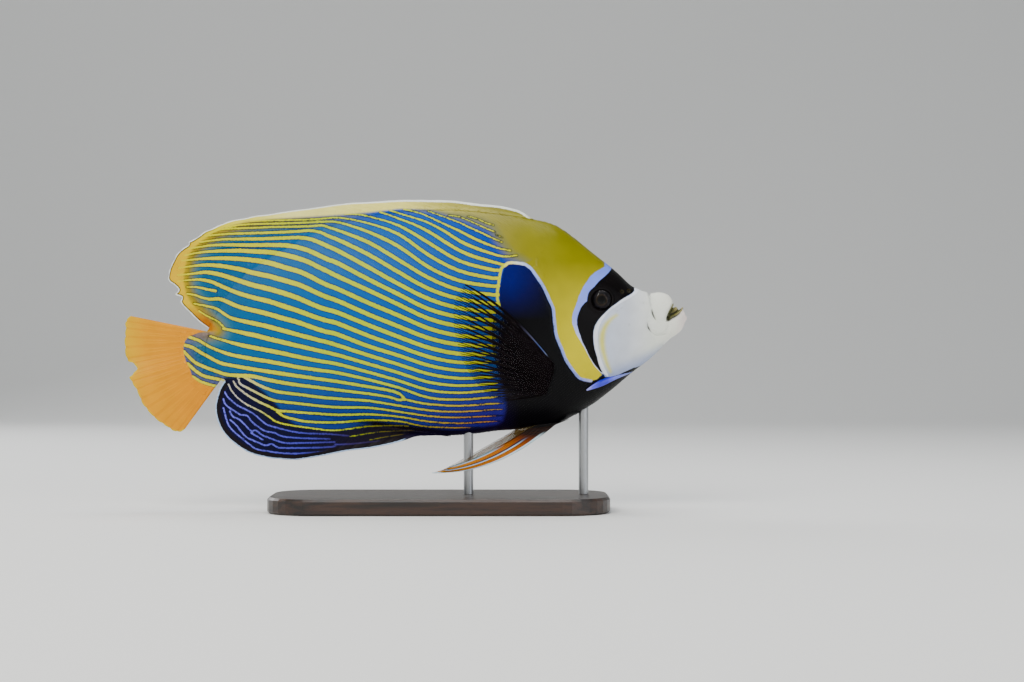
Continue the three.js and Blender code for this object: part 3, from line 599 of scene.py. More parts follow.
mouth = [(665.2, 320.6), (666.4, 316), (668.2, 311.8), (670.6, 308), (673, 305.9), (677, 305), (683, 305),
    (682, 308.4), (680.4, 311.4), (678, 314.2), (674.4, 317), (671, 318.7), (668, 320.8)]
# Painted shade: dark lines along the grooves of the face, with a half width in pixels at each point, below zero
# where a line fades out
creaseShadeLines = [
    [(649.4, 293.2, 0.5), (649.6, 296, 0.15), (650, 300, -0.12), (650.6, 305, -0.15), (650.9, 309, 0.0),
     (651.3, 312, 0.45), (651.9, 314.6, 0.55), (653, 317.2, 0.4), (654.7, 319.8, 0.0), (656, 321, -0.6)],
    [(647.6, 320.5, -0.6), (646.7, 323, -0.15), (646.7, 325.8, 0.15), (647.6, 328.3, 0.55), (649, 330.6, 0.2),
     (651.7, 333.2, -0.15), (655, 335.3, -0.15), (659, 335.6, -0.2), (664, 334, -0.15), (667, 333, -0.6)],
    [(664.6, 321.6, 0.0), (667.6, 321.2, 0.25), (671, 319.5, 0.1), (675, 317.2, 0.0), (679, 314, 0.05),
     (681, 311, -0.5)],
]
creamBorder = [(217, 330), (209, 322), (201, 313.5), (193.5, 306), (188.5, 299), (185.5, 292), (184, 284),
    (184, 275), (185.5, 266), (188, 257), (193, 249), (201, 242), (213, 233.5), (228, 227), (245, 222.5),
    (270, 219.3), (300, 217.3), (340, 215), (370, 212.6), (385, 210.8), (400, 209), (415, 209.5), (430, 210),
    (450, 213), (470, 214.7), (485, 219), (496, 225), (500, 233), (506, 243), (513, 252.5), (522, 257),
    (530, 262)]
nostrils = [(88.7, 8), (89.9, 8.2)]
pores = [(662, 304), (629, 325), (643.5, 303)]
bodyZones = {
    "head": [*patchBorder[4:], (600, 400), (700, 380), (720, 250), (620, 235), (585, 228), (560, 240),
        (540, 255)],
    "face": [(612, 240), (597, 283), (586, 293), (577, 318), (583, 345), (596, 372), (604, 380), (640, 368),
        (665, 372), (720, 340), (720, 260), (640, 240)],
    "bare": [(650, 280), (700, 288), (700, 345), (664, 345), (650, 336), (646, 322), (649, 305)],
}
# Stripes are slender next to the pale margin of the dorsal fin and broaden away from it, in mm. They
# swell round one column of the picture, and thin out over their last few pixels at the front
stripeLook = {
    "slender": 0.52, "spread": (1.5, 19), "breadth": 0.9, "swellAt": 272, "swellReach": 45, "swell": 0.2,
    "swellFrom": (12, 26), "taperFrom": (480, 310), "taper": 13, "tip": 0.25,
}
markingLook = {"violetHalf": 0.8, "rimHalf": 1.35, "lineHalf": 1.25, "nostril": 0.9 * mm, "softNape": 1.4,
               "nape": (430, 475)}


def nostrilField(x, z):
    # Distance in metres inside the openings of the nostrils
    gaps = [np.hypot(x - across(u), z - up(v)) for u, v in nostrils]
    return markingLook["nostril"] - np.minimum(*gaps)


def stripeLines():
    look = stripeLook
    lines = []
    for halves, points in stripes:
        path = smoothLine(points, 3)
        away = gapTo(creamBorder, *fromPicture(path).T, 40 * mm) / mm
        half = np.interp(path[:, 0], stripeStations, halves) * pixel * look["breadth"]
        half *= look["slender"] + (1 - look["slender"]) * smoothStep(away, *look["spread"])
        swell = np.exp(-((path[:, 0] - look["swellAt"]) / look["swellReach"]) ** 2)
        half *= 1 + look["swell"] * swell * smoothStep(away, *look["swellFrom"])
        if all(path[-1] >= look["taperFrom"]):
            left = path[-1, 0] - path[:, 0]
            half *= look["tip"] + (1 - look["tip"]) * smoothStep(left, 0, look["taper"])
        lines.append((fromPicture(path), half))
    return lines


def markings(x, z):
    # All fields of the pattern, and the painted shade of the face's creases, at places of the side view, in
    # millimetres, positive inside
    look = markingLook

    def area(*points, smooth=False):
        return region(points, x, z, smooth=smooth)

    def stroke(points, half):
        return half * pixel - gapTo(points, x, z)

    violet = [(picturePath(line, 3), look["violetHalf"] * pixel) for line in violetLines]
    folds = [(fromPicture(line[:, :2]), line[:, 2] * pixel) for line in map(smoothLine, creaseShadeLines)]
    outer = [(700, 260), (640, 240)]
    u, v = sideView(x, z)
    # The pale margin's edge is soft at the nape and tight further back
    napeStart, napeStop = [across((px - picture["tail"]) / picture["pixelsPerUnit"]) for px in look["nape"]]
    tight = 1 + look["softNape"] * (1 - smoothStep(x, napeStart, napeStop))
    fields = {
        "stripe": -distanceTo(stripeLines(), x, z),
        "violet": -distanceTo(violet, x, z),
        "mask": area(*maskFront, *maskRear, (612, 250), (650, 268)),
        "face": area(*maskFront[:-1], (603, 373), *faceLower, (660, 372), (720, 350), *outer),
        "white": area(*maskFront[::-1], *whiteFront),
        "crescent": area(*crescent, smooth=True),
        "band": area(*bandRear, (603, 374.5), (596, 350), (590, 320), (600, 290), (620, 268), (612, 252)),
        "yellow": area(*patchBorder[3:], (596, 379), (601, 374.5), (596, 366), (587, 340), (584, 320),
                       (592, 296), (609, 271), (620, 250), (560, 240), (530, 262)),
        "patch": area(*patchBorder[1:], (585, 385), (560, 400), (535, 370), *patchRear),
        "patchRim": stroke(patchBorder, look["rimHalf"]),
        "patchLine": stroke(patchLine, look["lineHalf"]),
        "throat": area(*throat),
        "anal": area(*analBase, (440, 480), (214, 480), (213, 405), (217, 389), (222, 380)),
        "tail": area(*tailBorder, (221, 384), (212, 395), (183, 436), (100, 450), (100, 300), (200, 322)),
        "crease": -distanceTo(folds, x, z),
        "mouth": area(*mouth, smooth=True),
        "nostril": nostrilField(x, z),
        "keel": (v - bellyLine(u)) * unit,
        "cream": tight * area(*creamBorder, (560, 264), (610, 262), (620, 230), (560, 190), (300, 180),
                              (150, 230), (150, 300), (180, 320), (199, 331.5), (209, 331.8)),
    }
    return {name: value / mm for name, value in fields.items()}


def mark(mesh, rim=40.0):
    # Stores the pattern on a mesh, and the distance in mm from a fin's edge where it has one
    points = read(mesh.vertices, "co", 3)
    for name, values in markings(points[:, 0], points[:, 2]).items():
        addAttribute(mesh, name, values)
    addAttribute(mesh, "rim", np.broadcast_to(rim, len(points)))


# The skin: rings of points round the body, with the folds of the head raised and cut in
skinForm = {
    "ringSteps": 190, "angleSamples": 721, "coatDepth": 0.25, "tipPush": 0.05, "margin": 1.02,
    "stations": [(13.5, 72, 72), (72, 80, 22), (80, 91.5, 60), (91.5, 98.5, 70), (98.5, 100.1, 20)],
    "endRings": [(0.75, 0.12), (0.4, 0.2)], "endRuns": (0.3, 0.6),
}
eyeForm = {"place": (85, 6.5), "radius": 6.2, "rim": 6.9, "socket": 1.5, "brow": 9.5}
# Folds of the head, as height and softness in mm, negative where cut in. A pad fills an outline, a line is a
# fold along it, and a shelf is a raised edge that fades within its reach in front
headFolds = [
    ("pad", 1.0, 2.2, [(651, 293), (659, 291), (668, 293), (673.5, 297), (674, 303), (670, 308.6), (666.6, 314),
        (664.8, 319), (660, 321.8), (655.5, 319), (652.6, 313), (651.6, 304)]),
    ("pad", 0.75, 2, [(647.5, 323.5), (651, 320), (656, 320.8), (662, 322.4), (666, 322.5), (668, 326),
        (666, 331), (661, 334.3), (655.5, 334.4), (650, 330.8)]),
    ("pad", 0.6, 2, [(666, 322), (672, 319.2), (678, 315.2), (681.4, 311.5), (683, 305), (690, 308),
        (690, 322), (681, 333), (670, 335), (666, 331), (667, 326)]),
    ("line", -1.3, 0.75, [(649.3, 289), (649.4, 292), (649.7, 295)]),
    ("line", -0.75, 0.5, [(649.6, 296), (650.4, 303), (650.7, 308), (651.7, 313), (654.8, 319.8)]),
    ("line", -0.8, 0.45, [(651.2, 311), (652.1, 315), (654.2, 318.8)]),
    ("line", -0.5, 0.5, [(647.6, 322), (646.8, 325.5), (649, 330.3), (652, 333.5), (656, 335.6), (664, 334.4)]),
    ("line", -0.7, 0.42, [(646.9, 326), (648.8, 330.3)]),
    ("pad", -1.7, 0.8, [(665, 319), (667.2, 313.6), (669.7, 309.4), (671.6, 306.4), (673.5, 302.5), (683, 302),
        (681.9, 308), (680.7, 311), (678, 313.8), (674, 316.6), (670.5, 318.6), (667.6, 320.8)]),
    ("line", 0.45, 0.7, [(666.5, 321.6), (671, 319.6), (675, 317.3), (679, 314.4), (682, 310.5)]),
]
headShelves = [
    (0.55, 14, [(604, 377), (599.5, 366), (596.6, 354), (595, 341), (595.6, 331), (599, 322), (605, 314)],
     [(640, 300), (680, 340), (640, 372)]),
    (0.9, 12, [*patchBorder[6:], (596, 379)], [(620, 370), (620, 250), (540, 250)]),
]


def foldHeight(x, z):
    # Height of the head's folds above the plain body, in millimetres
    total = np.zeros(len(x))
    for kind, height, width, points in headFolds:
        if kind == "pad":
            total += height * smoothStep(region(points, x, z) / mm, -0.15 * width, width)
        else:
            total += height * np.exp(-(gapTo(points, x, z) / mm / width) ** 2)
    for height, reach, line, front in headShelves:
        edge = picturePath(line)
        gap = gapTo(line, x, z, 20 * mm) / mm
        side = np.where(region([*line, *front], x, z, smooth=False) > 0, gap, -gap)
        ends = np.minimum(*[np.hypot(x - x0, z - z0) / mm for x0, z0 in (edge[0], edge[-1])])
        raised = height * smoothStep(side, -0.2, 0.8) * (1 - smoothStep(gap, reach * 0.2, reach))
        cut = height * 0.45 * np.exp(-((side + 0.8) / 0.7) ** 2)
        total += (raised - cut) * smoothStep(ends, 0, 9)
    # Brow, socket and rim of the eye, then nostrils and pores
    u, v = sideView(x, z)

    def around(place):
        return np.hypot(u - place[0], v - place[1]) * unit / mm

    gap = around(eyeForm["place"])
    total -= eyeForm["socket"] * (1 - smoothStep(gap, eyeForm["radius"] - 0.9, eyeForm["radius"] + 0.2))
    total += 0.6 * np.exp(-((gap - eyeForm["rim"] - 0.3) / 0.85) ** 2)
    total += 0.5 * np.exp(-((gap - eyeForm["brow"]) / 3.5) ** 2) * smoothStep(v, 6, 10)
    for place in nostrils:
        gap = around(place)
        total += 0.35 * np.exp(-((gap - 1.25) / 0.45) ** 2) - 1.1 * np.exp(-(gap / 0.8) ** 2)
    for place in fromPicture(pores):
        total -= 0.35 * np.exp(-(np.hypot(x - place[0], z - place[1]) / (0.6 * mm)) ** 2)
    return total


def ring(u):
    # One side of a section, from back to belly, in even steps round it
    angle = np.linspace(math.pi / 2, -math.pi / 2, skinForm["angleSamples"])
    height, half = section(u, angle)
    run = runAlong(height, half)
    even = np.linspace(0, run[-1], skinForm["ringSteps"] + 1)
    return np.interp(even, run, height), np.interp(even, run, half), run[-1] * unit


def makeSkin():
    parts = [np.linspace(a, b, n, endpoint=False) for a, b, n in skinForm["stations"]]
    rows = np.concatenate((*parts, [skinForm["stations"][-1][1]]))
    around = 2 * skinForm["ringSteps"]
    rings, arcs = [], []
    for u in rows:
        height, half, arc = ring(u)
        right = np.column_stack((np.full(len(half), float(across(u))), -half * unit, up(height)))
        rings.append(np.vstack((right, (right * (1, -1, 1))[-2:0:-1])))
        arcs.append(arc)
    front, centre = rings[-1], rings[-1].mean(0)
    for share, push in skinForm["endRings"]:
        rings.append(centre + (front - centre) * share + (push * unit, 0, 0))
    count = len(rings)
    poles = [rings[0].mean(0), rings[-1].mean(0) + (skinForm["tipPush"] * unit, 0, 0)]
    vertices = np.vstack((*rings, poles))
    rear, tip, last = count * around, count * around + 1, (count - 1) * around
    faces = ringFaces(0, count, around, capped=False)
    for j in range(around):
        k = (j + 1) % around
        faces += [(rear, k, j), (tip, last + j, last + k)]
    piece = addObject("fish_skin", vertices, faces)
    mesh = piece.data
    normals = read(mesh.vertices, "normal", 3)
    if (normals * (vertices - vertices.mean(0)))[:rear].sum() < 0:
        mesh.flip_normals()
        normals = -normals
    lift = np.full(len(vertices), -skinForm["coatDepth"])
    near = vertices[:, 0] > across(72)
    lift[near] += foldHeight(vertices[near, 0], vertices[near, 2])
    moved = vertices + normals * (lift * mm)[:, None]
    mesh.vertices.foreach_set("co", moved.ravel())
    mesh.update()
    # The unwrap runs along the body and round its sections, at one scale
    along = np.concatenate((rows, rows[-1] + np.array(skinForm["endRuns"]))) * unit
    along -= along[0]
    wide = np.append(arcs, [arcs[-1] * s for s, _ in skinForm["endRings"]]) * 2
    extent = max(along[-1], max(arcs) * 2) * skinForm["margin"]
    loops = read(mesh.loops, "vertex_index", kind=int)
    totals = read(mesh.polygons, "loop_total", kind=int)
    i, j = np.divmod(np.minimum(loops, rear - 1), around)
    share = j / around
    owner = np.repeat(np.arange(len(totals)), totals)
    highest = np.zeros(len(totals))
    np.maximum.at(highest, owner, share)
    share[(share == 0) & (highest[owner] > 0.6)] = 1.0
    uv = np.column_stack((along[i] / extent, 0.5 + (share - 0.5) * wide[i] / extent))
    uv[loops == rear] = (0.001, 0.5)
    uv[loops == tip] = (along[-1] / extent, 0.5)
    addBakeMap(mesh, uv)
    piece["unwrapExtent"] = float(extent)
    mark(mesh)
    return piece


skin = makeSkin()
print("skin made,", len(skin.data.polygons), "faces")


# One layering of the pattern for skin, fins and scales, with shade painted into the creases, mouth and nostrils
# of the head. Fields are in mm, places in picture columns and rows
patternLook = {"wobbleSize": 1.3 * mm, "wobble": 0.3, "toneSize": 9 * mm, "poreSize": 0.5 * mm,
               "speckleSize": 1.1 * mm}
tones = {
    "gap": ("columns", {170: "#10506C", 250: "#085490", 330: "#0652AA", 430: "#0446B6", 505: "#0634A4"}),
    "olive": ("cream", {-34: "#0A5C88", -23.8: "#246A88", -17: "#4A7280", -11.56: "#74785A", -6.8: "#928020",
                        0: "#C0A400"}),
    "anal": ("columns", {210: "#04042C", 300: "#05052C", 350: "#120A24", 400: "#160C14"}),
    "violet": ("columns", {220: "#7474F4", 300: "#4C4CC8", 350: "#33265E", 400: "#20162C"}),
    "stripe": ("columns", {180: "#D4CC00", 230: "#C4D000", 420: "#BCD000", 500: "#CCCC00"}),
    "cream": ("columns", {170: "#E4B400", 190: "#E2BE00", 215: "#E0D000", 250: "#EEE450", 290: "#F8F090",
                          400: "#F0E678", 440: "#B8B050", 500: "#8C8634", 530: "#8E8818"}),
    "yellow": ("rows", {390: "#D4C400", 350: "#D6C800", 310: "#C0B400", 280: "#A09800", 262: "#848000",
                        235: "#7C7A08"}),
    "tail": ("columns", {124: "#E2B000", 146: "#E89E00", 200: "#E89400", 218: "#DC8800"}),
    "throat": ("columns", {500: "#100628", 520: "#030206", 600: "#020203"}),
    "patchRim": ("columns", {503: "#F0E81E", 512: "#F4EE9A", 520: "#DCE4F4", 530: "#9CB4FF", 580: "#A0B0FF",
                             591: "#C8C8F4"}),
    "band": ("rows", {375: "#E8ECFC", 335: "#C0CAFF", 318: "#94A6FF", 285: "#8098FF", 262: "#6E8CF0"}),
    "face": ("columns", {600: "#CCD6E8", 625: "#D4DAE4", 640: "#E2E6E6", 655: "#ECF0E4", 674: "#F2F2E4",
                         686: "#F6E6E0"}),
}


def patternColour(tree, rimColour, rimWidth):
    tone = grain(tree, patternLook["toneSize"])
    wobble = addNode(tree, "ShaderNodeMapRange", {}, {
        "Value": grain(tree, patternLook["wobbleSize"]),
        "To Min": -patternLook["wobble"], "To Max": patternLook["wobble"],
    }).outputs["Result"]

    def edge(field, low, high):
        return (field, low, high, wobble)

    low = ("rows", 365.05, 415.54)
    keel = product(tree, ("keel", 5.5, 2.0), ("columns", 345, 375))
    inAnal = product(tree, edge("anal", -1.6, 1.2))
    tail = edge("tail", -0.15, 0.3)
    stripe = covered(
        tree, tones["stripe"],
        ("#C88C30", ("rows", 387.49, 415.54), ("columns", 360, 480)),
        ("#4A3408", keel, 0.75),
        ("#3C2E14", inAnal, ("columns", 368, 412)),
        ("#A8A8F8", ("columns", 272, 242), ("columns", 219, 225), ("rows", 376.5, 380)),
    )
    yellow = covered(tree, tones["cream"], (tones["yellow"], ("columns", 500, 566)))
    colour = covered(
        tree, tones["gap"],
        # Gaps between the stripes: speckled, violet towards the belly, olive towards the rear margin
        ("#127098", ("cream", 0, -24), ("grain", patternLook["speckleSize"], 3.0), 0.6),
        ("#14227C", low, 0.75),
        ("#2A1684", low, ("columns", 380, 490)),
        (tones["olive"], ("cream", -34, -20), ("columns", 380, 215)),
        ("#685E84", ("tail", -9, -1.0), 0.65),
        ("#7C7C48", ("cream", -9, -1), ("columns", 395, 450)),
        ("#0C0608", keel),
        # Anal fin with its violet lines, then the stripes with their dark edges
        (tones["anal"], inAnal),
        (tones["violet"], inAnal, edge("violet", -0.2, 0.25)),
        ("#04101E", edge("stripe", -0.85, -0.1), 0.8),
        (stripe, edge("stripe", -0.15, 0.15)),
        # Pale margin of the dorsal fin, stripes that show through it, orange brown low on its rear
        (yellow, edge("cream", -2.2, 2.6)),
        ("#E0D400", edge("stripe", -0.15, 0.3), ("columns", 330, 250), 0.75),
        ("#B46C00", ("rows", 304, 320), ("rows", 333, 330), ("columns", 224, 212), edge("cream", -6, 0),
         edge("stripe", 0.2, -0.3)),
        (tones["tail"], tail),
    )
    if rimColour:
        colour = covered(
            tree, colour,
            ("#C87000", ("ray", 0.75, 0.2), ("reach", 0.1, 0.5), tail, 0.22),
            ("#120A12", inAnal, ("rim", 4.2, 2.4)),
            ("#141006", ("rim", rimWidth + 1.5, rimWidth + 0.9), ("columns", 222, 200), edge("tail", 0.3, -0.3),
             0.85),
            (rimColour, edge("rim", rimWidth + 0.2, rimWidth - 0.3), ("columns", 533, 524)),
        )
    patch = covered(tree, "#020204", ("#040464", ("rows", 320.17, 283.705), ("columns", 552, 512)))
    colour = covered(
        tree, colour,
        (tones["throat"], edge("throat", -2.2, 1.6)),
        (patch, edge("patch", -0.25, 0.3)),
        ("#D0D400", edge("patchLine", -0.35, 0.25)),
        (yellow, edge("yellow", -0.2, 0.3)),
        (tones["patchRim"], edge("patchRim", -0.35, 0.3)),
        (tones["band"], edge("band", -0.2, 0.3)),
        (covered(tree, "#020203", ("#100504", tone, 0.5)), edge("mask", -0.2, 0.3)),
        # Nostrils: an olive rim round each opening, and black inside it, painted shade for the depth of the
        # opening
        ("#5A5024", ("nostril", -0.45, -0.1), 0.3),
        ("#020202", ("nostril", 0.0, 0.3)),
        (covered(tree, tones["face"], ("#7C90CC", ("throat", -7, 1.5), 0.6)), edge("face", -0.2, 0.3)),
        ("#F2F6FF", edge("white", -0.2, 0.4)),
        ("#E2DC48", edge("crescent", -1.2, 1.8), 0.85),
        # Painted shade: dark lines in the grooves of the face
        ("#24201A", ("crease", -0.42, 0.25), 0.95),
        # Mouth: a near-black band just inside its edge is painted shade under the lips; the gum further in is
        # olive
        ("#15140A", ("mouth", -0.35, 0.1)),
        ("#55552A", ("mouth", 0.5, 1.2)),
    )
    limits = {"Value": tone, "To Min": 0.86, "To Max": 1.08}
    shade = addNode(tree, "ShaderNodeMapRange", {}, limits).outputs[0]
    return blend(tree, 1.0, colour, shade, "MULTIPLY")


def patternMaterial(name, roughness, pores=0.05 * mm, rimColour=None, rimWidth=0.0):
    settings = {"Roughness": roughness, "IOR": 1.4, "Specular IOR Level": 0.16}
    material, tree, shader = newMaterial(name, settings)
    fill(tree, shader.inputs["Base Color"], patternColour(tree, rimColour, rimWidth))
    addRelief(tree, shader, grain(tree, patternLook["poreSize"], 3.0), pores)
    return material


# Bare skin of a fish under clear lacquer: soft highlights over dense colour
finish(skin, patternMaterial("lacquered_fish_skin", 0.38), "flank_skin", "head", "upper_jaw", "lower_jaw",
       "torso", "tail_stalk", "gill_cover_right", "gill_cover_left")
print("skin painted")


# Fins: leaves with a ridge for each ray that parts in two and four towards the edge
def spline(points):
    # A curve through points, evenly parted between them, with the ends repeated
    p = np.array(points, float)
    last = len(p) - 1

    def curve(share):
        place = np.clip(np.asarray(share, float), 0, 1) * last
        i = np.minimum(place.astype(int), last - 1)
        before, after = p[np.maximum(i - 1, 0)], p[np.minimum(i + 2, last)]
        return catmullRom(before, p[i], p[i + 1], after, (place - i)[:, None])

    return curve


def outlineCurve(knots, outline):
    # The fine outline of a fin's edge, reached in step with the knots that its rays point at
    line = smoothLine(outline, 6)
    run = runAlong(*line.T)
    place = [run[np.argmin(np.hypot(*(line - knot).T))] for knot in knots]
    place[0], place[-1] = 0, run[-1]
    place = np.maximum.accumulate(place)
    knotShares = np.linspace(0, 1, len(knots))

    def curve(share):
        at = np.interp(share, knotShares, place)
        return np.column_stack([np.interp(at, run, line[:, k]) for k in (0, 1)])

    return curve


# Roots on the body are stations of its ridge, and knots are the places that the rays point at. The margin is
# a colour and a width in mm, and scales cover the fin within a share outwards and a share to each side
finForms = {
    "dorsal_fin": {
        "rays": 34, "rows": 44, "sway": 1.6, "scallop": 0.01, "ridgeLine": backLine, "ridgeRim": backRim,
        "root": [73.2, 69.8, 64.4, 58.2, 51.1, 43.9, 36.8, 30.6, 25.8, 21.8, 19.2, 17.8, 16.9, 16.2],
        "knots": [(73, 21.1), (67.6, 23.4), (60.3, 24.2), (52.5, 24.4), (44.3, 24), (35.9, 23.3), (27.5, 22.1),
            (19.5, 20.7), (13.3, 17.8), (9.2, 14.6), (8, 10.9), (10.2, 7.1), (12.2, 4.4), (14.7, 2.9)],
        "outline": [(533, 219.5), (528, 216), (520, 211), (510, 208), (497, 205.5), (480, 204), (465, 202),
            (450, 200.4), (430, 200), (400, 200), (370, 202), (350, 203), (330, 205.5), (310, 208.5), (290, 211),
            (275, 213.5), (265, 215), (255, 216), (245, 218.5), (237, 219.5), (228, 222), (220, 225),
            (213, 228.5), (206, 231), (200, 235.5), (193, 240), (189, 242), (188.5, 245), (184, 248), (179, 252),
            (176, 256), (174, 260), (170.5, 267), (169, 272), (168, 278), (170, 282), (175, 285.5),
            (178.5, 290), (175, 294.5), (181.5, 297), (180.5, 302), (184, 307), (190, 313), (198, 321),
            (206, 327), (212, 331)],
        "margin": ("#F4FBF5", 1.35), "scaled": (0.93, 0.49),
    },
    "anal_fin": {
        "rays": 23, "rows": 40, "sway": -1.4, "scallop": 0.01, "ridgeLine": bellyLine, "ridgeRim": bellyRim,
        "root": [58.6, 53.7, 48.4, 43, 37.7, 32.9, 28.8, 25.4, 22.9, 20.9, 19.3],
        "knots": [(57, -17.6), (50.2, -18.3), (43.9, -19.6), (37.7, -20.7), (32, -21.6), (26.5, -21.5),
            (21.6, -19.8), (17.9, -16.9), (16.6, -13.4), (16.8, -10.6), (18.2, -8.8)],
        "outline": [(443, 434.4), (425, 435.6), (415, 436.2), (396, 442.7), (371, 448), (347, 451), (322, 456),
            (300, 459.6), (290, 460), (268, 458), (249, 453), (232, 442), (221.4, 430), (216.5, 417.7),
            (215.5, 405), (219.6, 389.6), (224.5, 381)],
        "margin": ("#BBD8FF", 0.8), "scaled": (0.9, 0.49),
    },
    "tail_fin": {
        "rays": 17, "rows": 46, "sway": 3.5, "scallop": 0.012, "rootHalf": 2.2, "sink": 0.04,
        "root": [(14.8, 1), (14.15, -1.4), (14.2, -3.7), (15.25, -6), (17.2, -7.85)],
        "knots": [(1.4, 3.8), (0.1, 2.2), (0, -0.5), (0.4, -4.2), (2.5, -5.4), (1.2, -7.3), (2.6, -9.6),
            (4.4, -12.5), (6.5, -14.8), (8.5, -16.4), (10.6, -16.7)],
        "outline": [(130, 315.8), (125.2, 321.5), (124.6, 330), (123.7, 342), (124.8, 355), (127.5, 361),
            (132, 362.8), (137, 368), (134, 373), (131.5, 376), (130.5, 378.5), (138, 391), (143, 403),
            (152, 415), (158, 420.6), (167, 427), (173, 431), (179, 432), (183.5, 430)],
        "margin": ("#E2C400", 0.8), "scaled": (0.3, 0.42),
    },
}
# Thicknesses in mm. A fin's thickness falls off outwards, faster on a fin that skin sheathes
leafLook = {"perRay": 12, "ridge": 0.28, "edgeHalf": 0.13, "narrowing": 1.6, "sink": 0.06, "scallop": 0.0}
sheathedLook = {"narrowing": 4.5, "sink": 0.08}


def raySurface(form, share, reach):
    # Places of the swaying middle sheet, by share along the root and reach outwards
    if "ridgeLine" in form:
        rootU = spline([(u, 0) for u in form["root"]])(share)[:, 0]
        root = np.column_stack((rootU, form["ridgeLine"](rootU)))
    else:
        root = spline(form["root"])(share)
    scale = picture["pixelsPerUnit"]
    knots = [(picture["tail"] + u * scale, picture["axis"] - v * scale) for u, v in form["knots"]]
    edge = np.column_stack(sideView(*fromPicture(outlineCurve(knots, form["outline"])(share)).T))
    bend = form["sway"] * mm * np.sin(2.5 * math.pi * share) * np.clip(reach, 0, 1) ** 2
    place = root + (edge - root) * reach[:, None]
    return np.column_stack((across(place[:, 0]), bend, up(place[:, 1])))


def ridges(phase, reach):
    # Cross-profile of one ray: a single ridge near the root, then two, then four
    def peak(*centres):
        return sum(np.exp(-((phase - c) / 0.1) ** 2) for c in centres)

    two, four = smoothStep(reach, 0.3, 0.55), smoothStep(reach, 0.62, 0.88)
    shape = peak(0.5) * (1 - two) + peak(0.34, 0.66) * two * (1 - four)
    return shape + peak(0.22, 0.42, 0.6, 0.8) * four * two


def leaf(name, sheet, form, **changes):
    # Closes a sheet of points into a leaf, thick at the root and thin at the edge
    look = {**leafLook, **form, **changes}
    rows, rays, edgeHalf = look["rows"], look["rays"], look["edgeHalf"]
    columns = rays * look["perRay"] + 1
    share = np.linspace(0, 1, columns)
    s, t = np.meshgrid(share, np.linspace(-look["sink"], 1, rows))
    phase = np.tile((share * rays) % 1.0, (rows, 1))
    edge = 1 - look["scallop"] * (2 * np.abs(phase - 0.5)) ** 2 * smoothStep(t, 0.85, 1)
    middle = sheet(s.ravel(), (t * edge).ravel()).reshape(rows, columns, 3)
    normal = np.cross(np.gradient(middle, axis=1), np.gradient(middle, axis=0))
    normal /= np.linalg.norm(normal, axis=2)[:, :, None] + 1e-12
    t = np.clip(t, 0, 1)
    peaks = ridges(phase, t)
    half = edgeHalf + (np.asarray(look["rootHalf"]) - edgeHalf) * (1 - t) ** look["narrowing"]
    half = half + look["ridge"] * peaks * (1 - 0.55 * t)
    half *= np.where(t > 0.999, 0.5, 1.0) * (0.35 + 0.65 * smoothStep(np.minimum(s, 1 - s) * rays, 0, 0.5))
    out = normal * (half * mm)[:, :, None]
    vertices = np.vstack(((middle + out).reshape(-1, 3), (middle - out).reshape(-1, 3)))
    size = rows * columns
    faces = []
    for a in range(size - columns):
        if (a + 1) % columns:
            b = a + columns
            faces += [(a, a + 1, b + 1, b), (size + a, size + b, size + b + 1, size + a + 1)]
    rim = [*range(columns), *range(2 * columns - 1, size, columns), *range(size - 2, size - columns - 1, -1),
           *range(size - 2 * columns, 0, -columns)]
    faces += [(a, size + a, size + b, b) for a, b in zip(rim, rim[1:] + rim[:1])]
    piece = addObject(name, vertices, faces)
    volume = sum(f.area * f.normal.dot(f.center - piece.data.vertices[0].co) for f in piece.data.polygons)
    if volume < 0:
        piece.data.flip_normals()
    for label, values in (("ray", peaks), ("reach", t), ("share", s)):
        addAttribute(piece.data, label, np.tile(values.ravel(), 2))
    return piece


def makeBodyFin(name, form):
    changes = {}
    if "ridgeRim" in form:
        share = np.linspace(0, 1, form["rays"] * leafLook["perRay"] + 1)
        rootU = spline([(u, 0) for u in form["root"]])(share)[:, 0]
        changes = {**sheathedLook, "rootHalf": form["ridgeRim"](rootU) * unit / mm}
    fin = leaf(name + "_web", lambda s, t: raySurface(form, s, t), form, **changes)
    x, y, z = read(fin.data.vertices, "co", 3).T
    edge = gapTo(form["outline"], x, z, 30 * mm, 3) / mm
    if name == "dorsal_fin":
        # The white margin is narrower towards the rear
        edge *= 1.9 - 0.9 * smoothStep(x, *fromPicture([(300, 0), (450, 0)])[:, 0])
    mark(fin.data, edge)
    # Fin web: thin skin over bony rays
    finish(fin, patternMaterial(name + "_web_skin", 0.4, 0.05 * mm, *form["margin"]), name + "_skin", name)
    print(name, len(fin.data.polygons), "faces")
    return fin


finWebs = {name: makeBodyFin(name, form) for name, form in finForms.items()}


